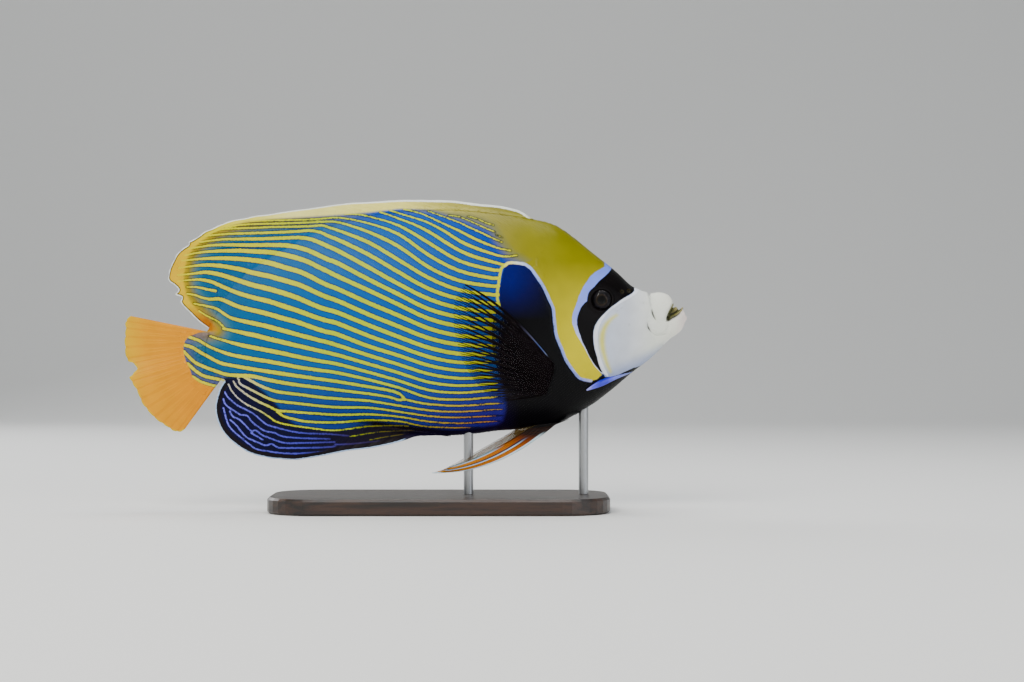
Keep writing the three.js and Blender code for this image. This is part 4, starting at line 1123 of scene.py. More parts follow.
# Rays stand apart from the webs on the pectoral and pelvic fins: flat, and parted in two and again in two
def finRays(name, sheet, count, look):
    # Half widths in mm are given at places outwards. The stored "lead" is 1 on the first ray
    vertices, faces, leads, reaches = [], [], [], []
    reach = np.linspace(-0.04, 0.99, 44)
    turns = circle(6)
    for ray in range(count + 1):
        centre = np.clip(ray / count, 0.006, 0.994)
        near = 0.35 if ray == 0 else 1
        for first, second in ((-1, -1), (-1, 1), (1, -1), (1, 1)):
            parting = 0.25 * smoothStep(reach, *look["firstPart"]) * first
            parting += 0.125 * smoothStep(reach, *look["secondPart"]) * second
            share = np.clip(centre + parting / count * near, 0.002, 0.998)
            line = sheet(share, reach)
            beside = sheet(np.clip(share + 0.004, 0, 1), reach) - sheet(np.clip(share - 0.004, 0, 1), reach)
            beside /= np.linalg.norm(beside, axis=1)[:, None]
            along = np.gradient(line, axis=0)
            along /= np.linalg.norm(along, axis=1)[:, None]
            out = np.cross(along, beside)
            half = np.interp(reach, look["places"], look["halves"]) * mm
            if ray == 0:
                half *= 0.6 + 0.4 * smoothStep(reach, 0.1, 0.4)
            faces += ringFaces(len(vertices), len(line), len(turns))
            for p, b, o, r in zip(line, beside, out, half):
                flat = min(r, look["flat"] * mm)
                vertices += [p + b * r * cosine + o * flat * sine for cosine, sine in turns]
            leads += [float(ray == 0)] * (len(line) * len(turns))
            reaches += list(np.repeat(reach, len(turns)))
    piece = addObject(name, vertices, faces)
    addAttribute(piece.data, "lead", leads)
    addAttribute(piece.data, "reach", reaches)
    fixNormals(piece)
    return piece


sides = {"right": -1, "left": 1}
# Pectoral fins: dark bony rays in a nearly clear web, with layers of skin that sheathe their foot
pectoralForm = {
    "rays": 15, "rows": 44, "spread": 16, "rootHalf": 1.1, "edgeHalf": 0.06, "ridge": 0.0, "lift": 1.2, "bow": 6,
    "root": [(76.1, -4.2), (75.9, -5.8), (75.6, -7.3), (75.2, -8.8), (74.8, -10.2)],
    "edge": [(61, 9.2), (59.4, 6.8), (59, 3), (59.5, -0.5), (60.6, -4), (62.2, -7), (64.6, -9.6), (67.6, -11.3)],
    "sheaths": {0.6: 0.62, 0.53: 0.7, 0.46: 0.78}, "sheathRows": 12, "sheathEdge": 0.18,
}
pectoralRays = {
    "places": (0, 0.3, 0.5, 0.7, 0.85, 1), "halves": (0.72, 0.95, 0.9, 0.52, 0.3, 0.14), "flat": 0.34,
    "firstPart": (0.45, 0.8), "secondPart": (0.62, 1.0),
}


def pectoralSheet(side, end=1.0):
    def sheet(s, t):
        t = t * end
        root, edge = spline(pectoralForm["root"])(s), spline(pectoralForm["edge"])(s)
        reach = np.clip(t, 0, 1)
        place = root + (edge - root) * t[:, None]
        place[:, 1] += pectoralForm["bow"] * reach * (1 - reach) * (1 - s) ** 2
        skinHalf = np.minimum(flank(place[:, 0], place[:, 1]), flank(root[:, 0], root[:, 1]) + 1)
        y = skinHalf * unit + (pectoralForm["lift"] + pectoralForm["spread"] * reach ** 1.1) * mm
        y = np.where(t < 0, y + t * 30 * mm, y)
        return np.column_stack((across(place[:, 0]), side * y, up(place[:, 1])))

    return sheet


# Clear fin web: thin skin that lets the body show
webMaterial = surface("clear_fin_web", {"Roughness": 0.35, "IOR": 1.38, "Alpha": 0.05}, "#0A0A18")
# Skin that sheathes the foot of a pectoral fin: dark and nearly closed, thinner with each layer outwards
sheathMaterial = surface(
    "dark_fin_sheath", {"Roughness": 0.45, "IOR": 1.4, "Specular IOR Level": 0.12, "Alpha": 0.36},
    "#080406", ("#140A0E", ("grain", 2 * mm)),
)
# Rays of the pectoral fins: dark skin over bone, the first ray pale blue and mauve at its foot
rayMaterial, rayTree, rayShader = newMaterial(
    "dark_fin_rays", {"Roughness": 0.45, "IOR": 1.4, "Specular IOR Level": 0.12})
leadShare = addNode(rayTree, "ShaderNodeAttribute", {"attribute_name": "lead"}).outputs["Fac"]
fill(rayTree, rayShader.inputs["Base Color"], covered(
    rayTree, "#060305", ("#140A0C", ("grain", 3 * mm)),
    (("reach", {0.05: "#C0D4FF", 0.12: "#6C90E8", 0.22: "#7478A0", 0.4: "#3A3040"}),
     leadShare, ("reach", 0.42, 0.16), ("reach", 0.03, 0.07)),
))
for word, side in sides.items():
    fin, sheet = "pectoral_fin_" + word, pectoralSheet(side)
    web = leaf(fin + "_web", sheet, pectoralForm, rootHalf=pectoralForm["rootHalf"] / 2, scallop=0.015)
    finish(web, webMaterial, "pectoral_fin_skin", fin)
    rays = finRays(fin + "_rays", sheet, pectoralForm["rays"], pectoralRays)
    finish(rays, rayMaterial, "pectoral_fin_skin", fin)
    for index, (end, thick) in enumerate(pectoralForm["sheaths"].items()):
        layer = leaf(f"{fin}_sheath_{index + 1}", pectoralSheet(side, end), pectoralForm,
                     rows=pectoralForm["sheathRows"], rootHalf=pectoralForm["rootHalf"] * thick,
                     edgeHalf=pectoralForm["sheathEdge"])
        finish(layer, sheathMaterial, "pectoral_fin_skin", fin)
print("pectoral fins made")


# Pelvic fins: an orange blade with pale blue lines, and a clear web behind it
pelvicForm = {
    "rays": 6, "rows": 56, "rootHalf": 1.3, "edgeHalf": 0.14, "ridge": 0.35, "sink": 0.12, "scallop": 0.01,
    "spread": 10, "offset": 4.6, "rightScale": 0.93,
    "blade": {"root": [76.9, 75.6, 74.3, 73.1, 72.1], "bow": (2.3, 0.7), "wave": 0, "thick": 1.0,
        "edge": [(54.7, -24.5), (55.4, -24.35), (56.2, -24.1), (57, -23.8), (57.8, -23.4)]},
    "veil": {"root": [72.3, 71.6, 70.8, 70], "bow": (0.7, 0), "wave": 0.5, "thick": 0.6,
        "edge": [(57.6, -23.45), (61.2, -21.5), (65.2, -19.3), (69, -17.2)]},
}
veilRays = {"places": (0, 0.5, 1), "halves": (0.3, 0.22, 0.1), "flat": 0.16, "firstPart": (0.3, 0.8),
            "secondPart": (0.6, 1.0)}


def pelvicSheet(part, side):
    scale = pelvicForm["rightScale"] if side < 0 else 1.0
    rootU = np.array(part["root"])
    root = np.column_stack((rootU, bellyLine(rootU)))
    edge = root + (np.array(part["edge"]) - root) * scale
    front, back = part["bow"]

    def sheet(s, t):
        start, stop = spline(root)(s), spline(edge)(s)
        place = start + (stop - start) * t[:, None]
        reach = np.clip(t, 0, 1)
        place[:, 1] -= 4 * reach * (1 - reach) * (front + (back - front) * s)
        turn = 2.2 * math.pi * (part["wave"] + 0.5 * s)
        y = pelvicForm["offset"] + pelvicForm["spread"] * reach + 1.2 * np.sin(turn) * reach
        return np.column_stack((across(place[:, 0]), side * y * mm, up(place[:, 1])))

    return sheet


def bladeMaterial():
    # Blade of the pelvic fins: orange skin, pale blue along its spine, middle ray and rear edge
    material, tree, shader = newMaterial("orange_fin_web_skin", {
        "Roughness": 0.4, "IOR": 1.4, "Specular IOR Level": 0.2,
    })
    reach = addNode(tree, "ShaderNodeAttribute", {"attribute_name": "reach"}).outputs["Fac"]
    run = addNode(tree, "ShaderNodeMath", {"operation": "MULTIPLY"}, {0: reach, 1: 300.0}).outputs[0]
    joints = addNode(tree, "ShaderNodeMath", {"operation": "SINE"}, {0: run}).outputs[0]
    orange = ("reach", {0.02: "#040203", 0.1: "#1A0A04", 0.18: "#7A3400", 0.3: "#A85000", 0.65: "#C06C00",
                        1: "#A87C08"})
    fill(tree, shader.inputs["Base Color"], covered(
        tree, orange,
        ("#C87C00", ("grain", 3 * mm), ("reach", 0.15, 0.4)),
        # Fine joints across the rays, a dark line before the middle ray, then the pale blue lines
        ("#5A2800", joints, 0.3),
        ("#141C38", ("share", 0.44, 0.48), ("share", 0.68, 0.62), ("reach", 0.1, 0.2), 0.85),
        ("#B8DCF6", ("share", 0.46, 0.5), ("share", 0.57, 0.54), ("reach", 0.12, 0.3)),
        ("#A8D4F0", ("share", 0.86, 0.93), ("reach", 0.3, 0.5)),
        ("#D4F0FC", ("share", 0.22, 0.14), ("reach", 0.06, 0.14)),
    ))
    addRelief(tree, shader, grain(tree, patternLook["poreSize"], 3.0), 0.05 * mm)
    return material


pelvicMaterials = {
    "blade": bladeMaterial(),
    # Rear web of the pelvic fins: clear skin with a brown tint, between thin brown rays
    "veil": surface("clear_pelvic_web", {"Roughness": 0.35, "IOR": 1.38, "Alpha": 0.22}, "#6A5420",
                    ("#8A7C4C", ("grain", 3 * mm))),
    "rays": surface("brown_pelvic_rays", {"Roughness": 0.45, "IOR": 1.4, "Specular IOR Level": 0.15}, "#5C3804",
                    ("#8A5A14", ("grain", 3 * mm))),
}
for word, side in sides.items():
    fin = "pelvic_fin_" + word
    for label in ("blade", "veil"):
        part = pelvicForm[label]
        sheet = pelvicSheet(part, side)
        piece = leaf(f"{fin}_{label}", sheet, pelvicForm, rootHalf=pelvicForm["rootHalf"] * part["thick"],
                     edgeHalf=pelvicForm["edgeHalf"] * part["thick"])
        finish(piece, pelvicMaterials[label], "pelvic_fin_skin", fin)
    finish(finRays(fin + "_rays", sheet, 5, veilRays), pelvicMaterials["rays"], "pelvic_fin_skin", fin)
print("pelvic fins made")


# Eyes: a dark iris and pupil under a clear domed cornea. Profiles are pairs of radius and height in mm
eyeLook = {
    "radius": 6.15, "bulge": 2.9, "rings": 24, "around": 64, "depth": 1.0, "foot": (0.97, -1.4),
    "iris": [(5.8, -1.3), (5.8, 0.1), (5.5, 0.75), (4.8, 1.4), (4.0, 1.85), (3.3, 2.1), (2.95, 2.16), (2.8, 2.1),
        (2.7, 1.9), (1.4, 2.0), (0.02, 2.05)],
}


def disc(name, centre, side, heights):
    # A closed body of revolution about the eye's axis
    turns = circle(eyeLook["around"])
    vertices = [(centre[0] + radius * mm * cosine, centre[1] + side * height * mm,
                 centre[2] + radius * mm * sine)
                for radius, height in heights for cosine, sine in turns]
    piece = addObject(name, vertices, ringFaces(0, len(heights), len(turns)))
    fixNormals(piece)
    return piece


# Clear cornea, cast in glossy resin: its highlight is what brings the eye alive
corneaMaterial = surface("clear_cornea_resin", {"Roughness": 0.03, "IOR": 1.38, "Alpha": 0.15}, "#050507")
# Painted iris: near black brown with fine streaks, a thin ochre ring by the pupil, and a black pupil
irisMaterial = surface(
    "painted_iris", {"Roughness": 0.45, "IOR": 1.45, "Specular IOR Level": 0.2},
    "#020101", ("#141018", ("grain", 0.6 * mm, 4.0)), ("#4A3818", ("radius", 3.7, 3.0), 0.5),
    ("#000000", ("radius", 2.95, 2.8)),
)
for word, side in sides.items():
    u, v = eyeForm["place"]
    surfaceHalf = float(flank(np.array([u]), np.array([v]))[0]) * unit
    centre = (float(across(u)), side * (surfaceHalf - eyeLook["depth"] * mm), float(up(v)))
    foot, floor = eyeLook["foot"]
    dome = [(eyeLook["radius"] * foot, floor)]
    for turn in np.linspace(1, 0.004, eyeLook["rings"]) * math.pi / 2:
        dome.append((eyeLook["radius"] * math.sin(turn), eyeLook["bulge"] * math.cos(turn) ** 0.85))
    finish(disc("eye_cornea_" + word, centre, side, dome), corneaMaterial, "eye_gloss", "eye_" + word)
    iris = disc("eye_iris_" + word, centre, side, eyeLook["iris"])
    x, y, z = read(iris.data.vertices, "co", 3).T
    addAttribute(iris.data, "radius", np.hypot(x - centre[0], z - centre[2]) / mm)
    finish(iris, irisMaterial, "eye_gloss", "eye_" + word)
print("eyes made")


# Cheek spines: a vivid blue spine at the lower corner of each cheek
spineForm = {
    "line": [(90.6, -6.15), (88.6, -6.75), (86.9, -7.35), (85.4, -7.95), (83.9, -8.65), (82.4, -9.4)],
    "radii": [0.5, 1.15, 1.6, 2.05, 1.5, 0.25], "rise": [-1.1, -0.45, 0.1, 0.5, 0.9, 1.1],
    "steps": 48, "around": 20, "flatness": 0.6,
}


def makeSpine(word, side):
    share = np.linspace(0, 1, spineForm["steps"])
    u, v = spline(spineForm["line"])(share).T
    knots = np.linspace(0, 1, len(spineForm["line"]))
    radius, rise = [profile(np.column_stack((knots, spineForm[key])))(share) * mm
                    for key in ("radii", "rise")]
    middle = np.column_stack((across(u), side * (flank(u, v) * unit + rise), up(v)))
    along = np.gradient(middle, axis=0)
    along /= np.linalg.norm(along, axis=1)[:, None]
    out = np.array([0, side, 0]) - along * (along[:, 1] * side)[:, None]
    out /= np.linalg.norm(out, axis=1)[:, None]
    wide = np.cross(along, out)
    turns = circle(spineForm["around"])
    vertices = []
    for p, w, o, r in zip(middle, wide, out, radius):
        vertices += [p + w * r * cosine + o * r * spineForm["flatness"] * sine for cosine, sine in turns]
    piece = addObject("cheek_spine_" + word + "_blue", vertices, ringFaces(0, len(middle), len(turns)))
    fixNormals(piece)
    return piece


# Enamelled bone: vivid blue with a paler tip, fading into the cheek at its root
spineMaterial, spineTree, spineShader = newMaterial("blue_enamel_bone", {
    "Roughness": 0.28, "IOR": 1.5, "Coat Weight": 0.35, "Coat Roughness": 0.12,
})
spineTone = tint(spineTree, ("columns", {586: "#B4B4FF", 592: "#5A5CFF", 600: "#0A0ADC", 607: "#1A1AE8",
                                         613: "#7078FF", 624: "#8C9CF0", 632: "#7C90CC"}))
spineDim = blend(spineTree, grain(spineTree, 2.2 * mm), "#8080A0", "#FFFFFF")
fill(spineTree, spineShader.inputs["Base Color"], blend(spineTree, 0.6, spineTone, spineDim, "MULTIPLY"))
for word, side in sides.items():
    finish(makeSpine(word, side), spineMaterial, "spine_enamel", "cheek_spine_" + word)
print("cheek spines made")


# Scales: shingles in staggered rows over the skin, placed by Geometry Nodes. Steps and pitches are in mm,
# relief is a scale's thickness, and the last entries say where the rows start and stop and what stays bare
scaleForm = {
    "body": {"step": 1.15, "along": 2.1, "across": 2.0, "relief": 0.14, "scatter": 0.06},
    "head": {"step": 0.85, "along": 1.5, "across": 1.45, "relief": 0.09, "scatter": 0.1},
    "face": {"step": 0.62, "along": 1.12, "across": 1.08, "relief": 0.05, "scatter": 0.14},
    "sizeVariation": 0.08, "tiltVariation": 2.0, "seed": 11, "patch": 0.003, "firstStation": 14.4,
    "lastStation": 97.3, "rearRun": 0.25, "eyeGap": 7.9, "nostrilGap": 1.0, "ridgeGap": 0.15,
    "cuts": {"body": {"_rear": (-1, 0), "_front": (0, 1)}, "head": {"": (-1, 1)}, "face": {"": (-1, 1)}},
}
scaleShapeForm = {
    "rim": [(-0.5, -0.3), (0.05, -0.6), (0.6, -0.46), (0.92, 0), (0.6, 0.46), (0.05, 0.6), (-0.5, 0.3)],
    "rootDepth": -1.0, "rise": 2.3, "edge": 0.55, "dome": 0.55, "crown": 0.3,
}
scaleLength = scaleShapeForm["rim"][3][0] - scaleShapeForm["rim"][0][0]


def scaleShape():
    # One scale, free edge towards +X, outer face up, in pitches across and reliefs high
    form = scaleShapeForm
    bottom = [(x, y, form["rootDepth"] + form["rise"] * (x + 0.5) / scaleLength) for x, y in form["rim"]]
    top = [(x, y, z + form["edge"]) for x, y, z in bottom]
    count = len(top)
    crown = form["rootDepth"] + form["rise"] * 0.56 + form["edge"] + form["dome"]
    vertices = [*top, *bottom, (form["crown"], 0, crown)]
    faces = [(i, (i + 1) % count, 2 * count) for i in range(count)]
    faces.append(tuple(range(2 * count - 1, count - 1, -1)))
    faces += [((i + 1) % count, i, count + i, count + (i + 1) % count) for i in range(count)]
    piece = addObject("scale_shape", vertices, faces)
    rimEdges = [set(edge.vertices) for edge in piece.data.edges]
    crisp = [max(edge) < count and edge != {0, count - 1} for edge in rimEdges]
    piece.data.attributes.new("sharp_edge", "BOOLEAN", "EDGE").data.foreach_set("value", crisp)
    addAttribute(piece.data, "local", [(x, y, 0) for x, y, z in vertices], "FLOAT_VECTOR")
    piece.hide_render = True
    return piece


def coatTree():
    # Geometry Nodes: a scale on each point, turned by its stored axes, sized, varied and made real
    tree = bpy.data.node_groups.new("scale_coat", "GeometryNodeTree")
    kinds = {"Geometry": "Geometry", "Scale Shape": "Object", "Size Variation": "Float",
             "Tilt Variation": "Float", "Seed": "Int", "Material": "Material"}
    sockets = {}
    for name, kind in kinds.items():
        socket = tree.interface.new_socket(name, in_out="INPUT", socket_type="NodeSocket" + kind)
        sockets[name] = socket.identifier
    tree.interface.new_socket("Geometry", in_out="OUTPUT", socket_type="NodeSocketGeometry")
    given = addNode(tree, "NodeGroupInput").outputs

    def add(kind, settings, inputs):
        return addNode(tree, kind, settings, inputs).outputs[0]

    def stored(name):
        return add("GeometryNodeInputNamedAttribute", {"data_type": "FLOAT_VECTOR"}, {"Name": name})

    def reckoned(operation, first, second):
        return add("ShaderNodeMath", {"operation": operation}, {0: first, 1: second})

    def drawn(low, high, shift):
        seed = reckoned("ADD", given["Seed"], shift)
        node = addNode(tree, "FunctionNodeRandomValue", {"data_type": "FLOAT"}, {2: low, 3: high, 8: seed})
        return node.outputs[1]

    axes = add("FunctionNodeAxesToRotation", {"primary_axis": "Z", "secondary_axis": "X"},
               {0: stored("out"), 1: stored("lie")})
    tilt, variation = given["Tilt Variation"], given["Size Variation"]
    leaning = drawn(reckoned("MULTIPLY", tilt, -1.0), tilt, 1.0)
    lean = add("FunctionNodeAxisAngleToRotation", {}, {"Axis": (0, 1, 0), "Angle": leaning})
    turned = add("FunctionNodeRotateRotation", {"rotation_space": "LOCAL"},
                 {"Rotation": axes, "Rotate By": lean})
    factor = drawn(reckoned("SUBTRACT", 1.0, variation), reckoned("ADD", 1.0, variation), 2.0)
    size = add("ShaderNodeVectorMath", {"operation": "SCALE"}, {0: stored("size"), "Scale": factor})
    picked = addNode(tree, "GeometryNodeObjectInfo", {}, {"Object": given["Scale Shape"]})
    points = add("GeometryNodeMeshToPoints", {}, {0: given["Geometry"]})
    placed = add("GeometryNodeInstanceOnPoints", {},
                 {0: points, 2: picked.outputs["Geometry"], 5: turned, 6: size})
    real = add("GeometryNodeRealizeInstances", {}, {0: placed})
    painted = add("GeometryNodeSetMaterial", {}, {0: real, 2: given["Material"]})
    addNode(tree, "NodeGroupOutput", {}, {0: painted})
    return tree, sockets


scalePiece = scaleShape()
coatNodes, coatSockets = coatTree()
skinTree = BVHTree.FromObject(skin, bpy.context.evaluated_depsgraph_get())
# Scales under clear lacquer: each thin edge catches a little light
scaleMaterial = patternMaterial("lacquered_fish_scales", 0.36, 0.03 * mm)


def makeCoat(name, slot, points, fields):
    # Turns places with their stored "out", "lie", "size" and "rootUv" into one plain mesh of scales
    mesh = bpy.data.meshes.new(name + "_places")
    mesh.from_pydata([tuple(p) for p in points], [], [])
    for label, values in fields.items():
        addAttribute(mesh, label, values, "FLOAT_VECTOR")
    places = bpy.data.objects.new(name + "_places", mesh)
    bpy.context.scene.collection.objects.link(places)
    modifier = places.modifiers.new("scales", "NODES")
    modifier.node_group = coatNodes
    for label, value in {
        "Scale Shape": scalePiece, "Size Variation": scaleForm["sizeVariation"], "Seed": scaleForm["seed"],
        "Tilt Variation": math.radians(scaleForm["tiltVariation"]), "Material": scaleMaterial,
    }.items():
        modifier[coatSockets[label]] = value
    bpy.context.view_layer.update()
    real = bpy.data.meshes.new_from_object(places.evaluated_get(bpy.context.evaluated_depsgraph_get()))
    places.modifiers.remove(modifier)
    bpy.data.objects.remove(places)
    coat = bpy.data.objects.new(name, real)
    bpy.context.scene.collection.objects.link(coat)
    real.shade_smooth()
    local, rootUv = [read(real.attributes[label].data, "vector", 3)[:, :2] for label in ("local", "rootUv")]
    for label in ("local", *fields):
        if label in real.attributes:
            real.attributes.remove(real.attributes[label])
    uv = rootUv + local * scaleForm["patch"] / scaleLength
    addBakeMap(real, uv[read(real.loops, "vertex_index", kind=int)])
    mark(real)
    finish(coat, None, slot)
    print(name, len(points), "scales")


def rowPlaces(pitch):
    # Staggered places over one side, each with a place a little further back, its share of the way round
    # the ring and the ring's length
    run, rearRun = pitch["across"] * mm / unit, scaleForm["rearRun"]
    table = np.linspace(scaleForm["firstStation"], scaleForm["lastStation"], 700)
    angle = np.linspace(math.pi / 2, -math.pi / 2, 361)
    draw = np.random.default_rng(scaleForm["seed"])
    pace = runAlong(table, bodyWidth(table))
    count = int(pace[-1] * unit / (pitch["step"] * mm))
    places = []
    for index, u in enumerate(np.interp(np.linspace(0, pace[-1], count), pace, table)):
        lines = []
        for station in (u, u - rearRun):
            height, wide = section(station, angle)
            way = runAlong(height, wide)
            lines.append((station, height, wide, way, np.interp(0, -angle, way)))
        arc, middle = lines[0][3:]
        first = math.ceil((arc[0] - middle) / run) + (0.5 if index % 2 else 0)
        at = np.arange(first, (arc[-1] - middle) / run, 1.0) * run + middle
        at = at + draw.uniform(-pitch["scatter"], pitch["scatter"], len(at)) * run
        at = at[(at > scaleForm["ridgeGap"]) & (at < arc[-1] - scaleForm["ridgeGap"])]
        row = []
        for station, height, wide, way, centre in lines:
            along = at - middle + centre
            row += [np.full(len(at), float(across(station))), np.interp(along, way, wide) * unit,
                    up(np.interp(along, way, height))]
        places.append(np.column_stack((*row, at / arc[-1] / 2, np.full(len(at), arc[-1] * unit))))
    return np.vstack(places)


def bodyCoat():
    extent = skin["unwrapExtent"]
    first = float(across(skinForm["stations"][0][0]))
    for zone, cuts in scaleForm["cuts"].items():
        pitch = scaleForm[zone]
        rows = rowPlaces(pitch)
        x, z = rows[:, 0], rows[:, 2]
        inHead, inFace = [region(bodyZones[name], x, z, smooth=False) > 0 for name in ("head", "face")]
        keep = {"body": ~inHead & ~inFace, "head": inHead & ~inFace, "face": inFace}[zone]
        u, v = sideView(x, z)
        eye = np.hypot(u - eyeForm["place"][0], v - eyeForm["place"][1]) * unit / mm
        bare = region(bodyZones["bare"], x, z) / mm
        keep &= (eye > scaleForm["eyeGap"]) & (bare < 0)
        keep &= nostrilField(x, z) < -scaleForm["nostrilGap"] * mm
        rows, bare = rows[keep], bare[keep]
        # Scales flatten towards the bare lips
        size = np.tile([pitch[key] * mm for key in ("along", "across", "relief")], (len(rows), 1))
        size[:, 2] *= 0.35 + 0.65 * smoothStep(-bare, 0, 7)
        for word, side in sides.items():
            start, rear = rows[:, 0:3] * (1, side, 1), rows[:, 3:6] * (1, side, 1)
            hits = [skinTree.find_nearest(Vector(p)) for p in start]
            place, out = np.array([hit[0] for hit in hits]), np.array([hit[1] for hit in hits])
            lie = rear - start
            lie /= np.linalg.norm(lie, axis=1)[:, None]
            share = rows[:, 6] if side < 0 else 1 - rows[:, 6]
            root = np.column_stack(((place[:, 0] - first) / extent,
                                    0.5 + (share - 0.5) * rows[:, 7] * 2 / extent, np.zeros(len(place))))
            for label, (low, high) in cuts.items():
                part = (place[:, 0] >= low) & (place[:, 0] < high)
                makeCoat(f"{zone}_scales_{word}{label}", "flank_skin", place[part],
                         {"out": out[part], "lie": lie[part], "size": size[part], "rootUv": root[part]})


# Scales of the fins: smaller ones over the webs, thinning out towards the edges
finScales = {
    "step": 0.95, "across": 1.7, "along": 1.7, "relief": 0.09, "seed": 5, "bare": (2.5, 7),
    "samples": (160, 24), "castFrom": 0.05, "lean": 0.8, "least": 0.7, "growth": (3, 12),
}


def finCoat(name, form, web):
    web.data.update()
    webTree = BVHTree.FromObject(web, bpy.context.evaluated_depsgraph_get())
    reachLimit, sideLimit = form["scaled"]
    shares, reaches = [np.linspace(0, 1, count) for count in finScales["samples"]]
    s, t = [grid.ravel() for grid in np.meshgrid(shares, reaches)]
    sheet = raySurface(form, s, t)
    direction = raySurface(form, s, t + 0.02) - sheet
    direction /= np.linalg.norm(direction, axis=1)[:, None] + 1e-12
    low, high = sheet.min(0), sheet.max(0)
    pitch = finScales["across"] * mm
    spots = []
    for index, x in enumerate(np.arange(low[0], high[0], finScales["step"] * mm)):
        z = np.arange(low[2], high[2], pitch) + (index % 2) * pitch / 2
        spots.append(np.column_stack((np.full(len(z), x), z)))
    spots = np.vstack(spots)
    inset = gapTo(form["outline"], *spots.T, 15 * mm, 3) / mm
    draw = np.random.default_rng(finScales["seed"])
    spots = spots[draw.random(len(spots)) < smoothStep(inset, *finScales["bare"])]
    for word, side in sides.items():
        place, out, lie, root = [], [], [], []
        for x, z in spots:
            start = Vector((x, side * finScales["castFrom"], z))
            hit, normal, face, gap = webTree.ray_cast(start, Vector((0, -side, 0)))
            if hit is None:
                continue
            near = np.argmin((sheet[:, 0] - x) ** 2 + (sheet[:, 2] - z) ** 2)
            reach = t[near]
            if reach > reachLimit or abs(s[near] - 0.5) > sideLimit:
                continue
            place.append(hit)
            # Faces are ridged by the rays, so a scale leans half towards the fin's own flat side
            outward = normal if normal.y * side > 0 else -normal
            out.append(outward + Vector((0, side * finScales["lean"], 0)))
            lie.append(direction[near] * (0.15 + 0.85 * reach) + np.array([-1 + 0.6 * reach, 0, 0]))
            root.append((0.02 + 0.96 * s[near], 0.5 - side * 0.48 * reach, 0))
        place = np.array(place)
        away = gapTo(form["outline"], place[:, 0], place[:, 2], 15 * mm, 3) / mm
        grown = finScales["least"] + (1 - finScales["least"]) * smoothStep(away, *finScales["growth"])
        size = np.outer(grown, [finScales[key] * mm for key in ("along", "across", "relief")])
        makeCoat(f"{name}_scales_{word}", name + "_skin", place,
                 {"out": np.array(out), "lie": np.array(lie), "size": size, "rootUv": np.array(root)})


bodyCoat()
for finName, form in finForms.items():
    finCoat(finName, form, finWebs[finName])
bpy.data.objects.remove(scalePiece)
print("scales laid")


# Teeth: a brush of fine bristles rooted on the gum inside the open mouth
teethForm = {
    "from": (96.0, 100.0), "spacing": 0.42, "inset": (0.12, 0.9), "lengths": (0.9, 1.9), "radius": 0.2,
    "sides": 5, "lean": (0.2, 0.0, 1.0), "outward": 0.3, "loose": 0.12, "seed": 3,
    "levels": ((-0.2, 1.0), (0.6, 0.8)),
}


def gumPlaces():
    # Staggered places over the whole mouth, on both sides and across its ridge
    step = teethForm["spacing"] * mm / unit
    angle = np.linspace(math.pi / 2, -math.pi / 4, 241)
    places = []
    for index, u in enumerate(np.arange(*teethForm["from"], step * 0.87)):
        height, wide = section(u, angle)
        run = runAlong(height, wide)
        at = np.arange((index % 2) * step / 2, run[-1], step)
        h, w = np.interp(at, run, height), np.interp(at, run, wide)
        places.append(np.column_stack((np.full(len(at), across(u)), w * unit, up(h))))
    places = np.vstack(places)
    inset = region(mouth, places[:, 0], places[:, 2]) / mm
    inside = inset > teethForm["inset"][0]
    return places[inside], inset[inside]


def makeTeeth():
    draw = np.random.default_rng(teethForm["seed"])
    places, inset = gumPlaces()
    loose, turns = teethForm["loose"], circle(teethForm["sides"])
    n = len(turns)
    vertices, faces, tips = [], [], []
    for side in (-1, 1):
        for place, deep in zip(places, inset):
            hit, normal, face, gap = skinTree.find_nearest(Vector(place * (1, side, 1)))
            lie = Vector(teethForm["lean"]) + Vector(draw.uniform(-loose, loose, 3))
            lie = (lie - normal * lie.dot(normal)).normalized() + normal * teethForm["outward"]
            lie.normalize()
            length = np.interp(deep, teethForm["inset"], teethForm["lengths"]) * mm * draw.uniform(0.8, 1.1)
            beside = lie.orthogonal().normalized()
            other = lie.cross(beside)
            start = len(vertices)
            for level, wide in teethForm["levels"]:
                for cosine, sine in turns:
                    offset = (beside * cosine + other * sine) * teethForm["radius"] * mm * wide
                    vertices.append(hit + lie * length * level + offset)
            vertices.append(hit + lie * length)
            tips += [level for level, _ in teethForm["levels"] for _ in turns] + [1.0]
            for k in range(n):
                a, b = start + k, start + (k + 1) % n
                faces += [(a, b, b + n, a + n), (a + n, b + n, start + 2 * n)]
            faces.append(tuple(range(start + n - 1, start - 1, -1)))
    piece = addObject("bristle_teeth", vertices, faces)
    addAttribute(piece.data, "tipward", tips)
    fixNormals(piece)
    # Bristle teeth of horn-coloured enamel: dark olive at the gum, straw-coloured at the tips
    finish(piece, surface(
        "stained_bristle_teeth", {"Roughness": 0.35, "IOR": 1.55}, "#24220C",
        (("columns", {666: "#5C6440", 671: "#7C7A38", 676: "#B4A85C", 681: "#C8BE78"}),
         ("tipward", 0.1, 0.95)),
        ("#3C3814", ("grain", 0.8 * mm), 0.4),
    ), "lip_skin")


makeTeeth()
print("teeth set")


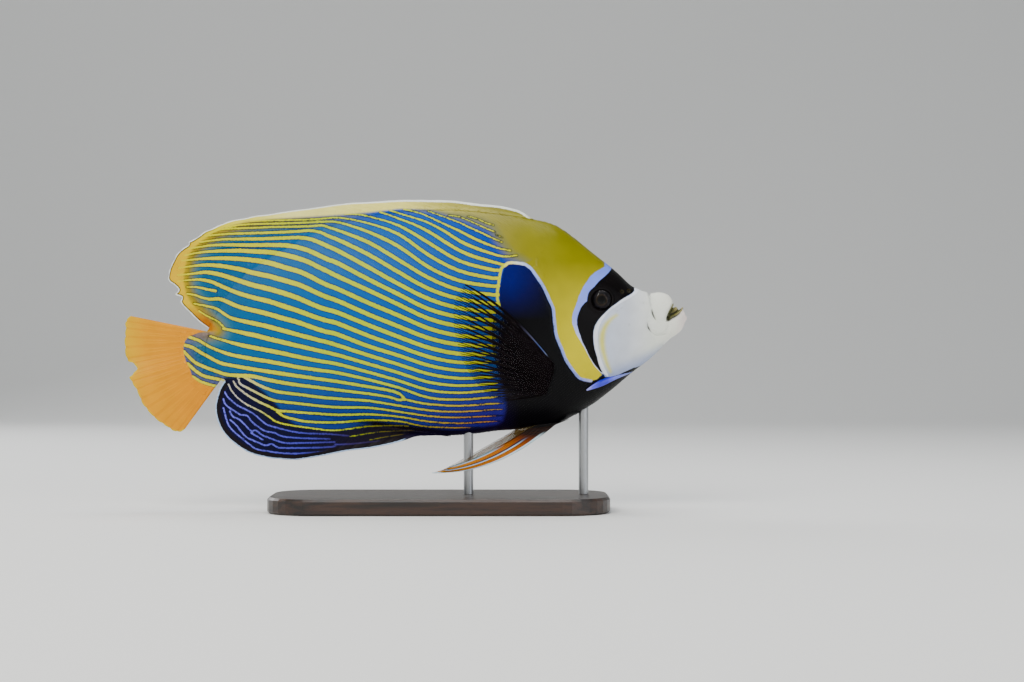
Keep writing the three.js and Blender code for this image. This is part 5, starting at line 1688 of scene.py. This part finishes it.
# Stand: its shapes are kept, its surfaces become stained wood and brushed steel
woodLook = {"rings": 5.5 * mm, "pores": 0.35 * mm, "stretch": (14, 1, 1), "bands": 7.0,
            "open": (0.58, 0.68), "rough": (0.32, 0.5)}
steelLook = {"brush": 0.12 * mm, "stretch": (1, 1, 30), "rough": (0.22, 0.42)}


def roughen(tree, shader, value, look):
    low, high = look["rough"]
    node = addNode(tree, "ShaderNodeMapRange", {}, {"Value": value, "To Min": low, "To Max": high})
    fill(tree, shader.inputs["Roughness"], node.outputs["Result"])


def woodMaterial():
    # Dark stained hardwood under satin varnish: grain along the base, fine open pores, a soft broad shine
    material, tree, shader = newMaterial("stained_hardwood", {
        "IOR": 1.5, "Coat Weight": 0.25, "Coat Roughness": 0.3, "Coat IOR": 1.5,
    })
    rings = grain(tree, woodLook["rings"], 4.0, woodLook["stretch"])
    pores = grain(tree, woodLook["pores"], 2.0, woodLook["stretch"])
    bands = addNode(tree, "ShaderNodeMath", {"operation": "PINGPONG"},
                    {0: product(tree, rings, woodLook["bands"]), 1: 1.0}).outputs[0]
    low, high = woodLook["open"]
    limits = {"Value": pores, "From Min": low, "From Max": high}
    opened = addNode(tree, "ShaderNodeMapRange", {}, limits).outputs[0]
    fill(tree, shader.inputs["Base Color"],
         covered(tree, "#120A06", ("#3A2418", bands), ("#060302", opened, 0.7)))
    roughen(tree, shader, pores, woodLook)
    addRelief(tree, shader, opened, 0.05 * mm, 0.4, invert=True)
    return material


def steelMaterial():
    # Brushed steel: fine marks along the rods, that spread their highlights
    material, tree, shader = newMaterial("brushed_steel", {"Metallic": 1.0})
    brush = grain(tree, steelLook["brush"], 4.0, steelLook["stretch"])
    fill(tree, shader.inputs["Base Color"], covered(tree, "#8C8E90", ("#C6C8CA", brush)))
    roughen(tree, shader, brush, steelLook)
    addRelief(tree, shader, brush, 0.01 * mm, 0.3)
    return material


steel = steelMaterial()
standMaterials = {"stand_base": woodMaterial(), "stand_rod_front": steel, "stand_rod_rear": steel}
for nodeName, material in standMaterials.items():
    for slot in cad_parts[nodeName].material_slots:
        slot.material = material
print("stand finished")
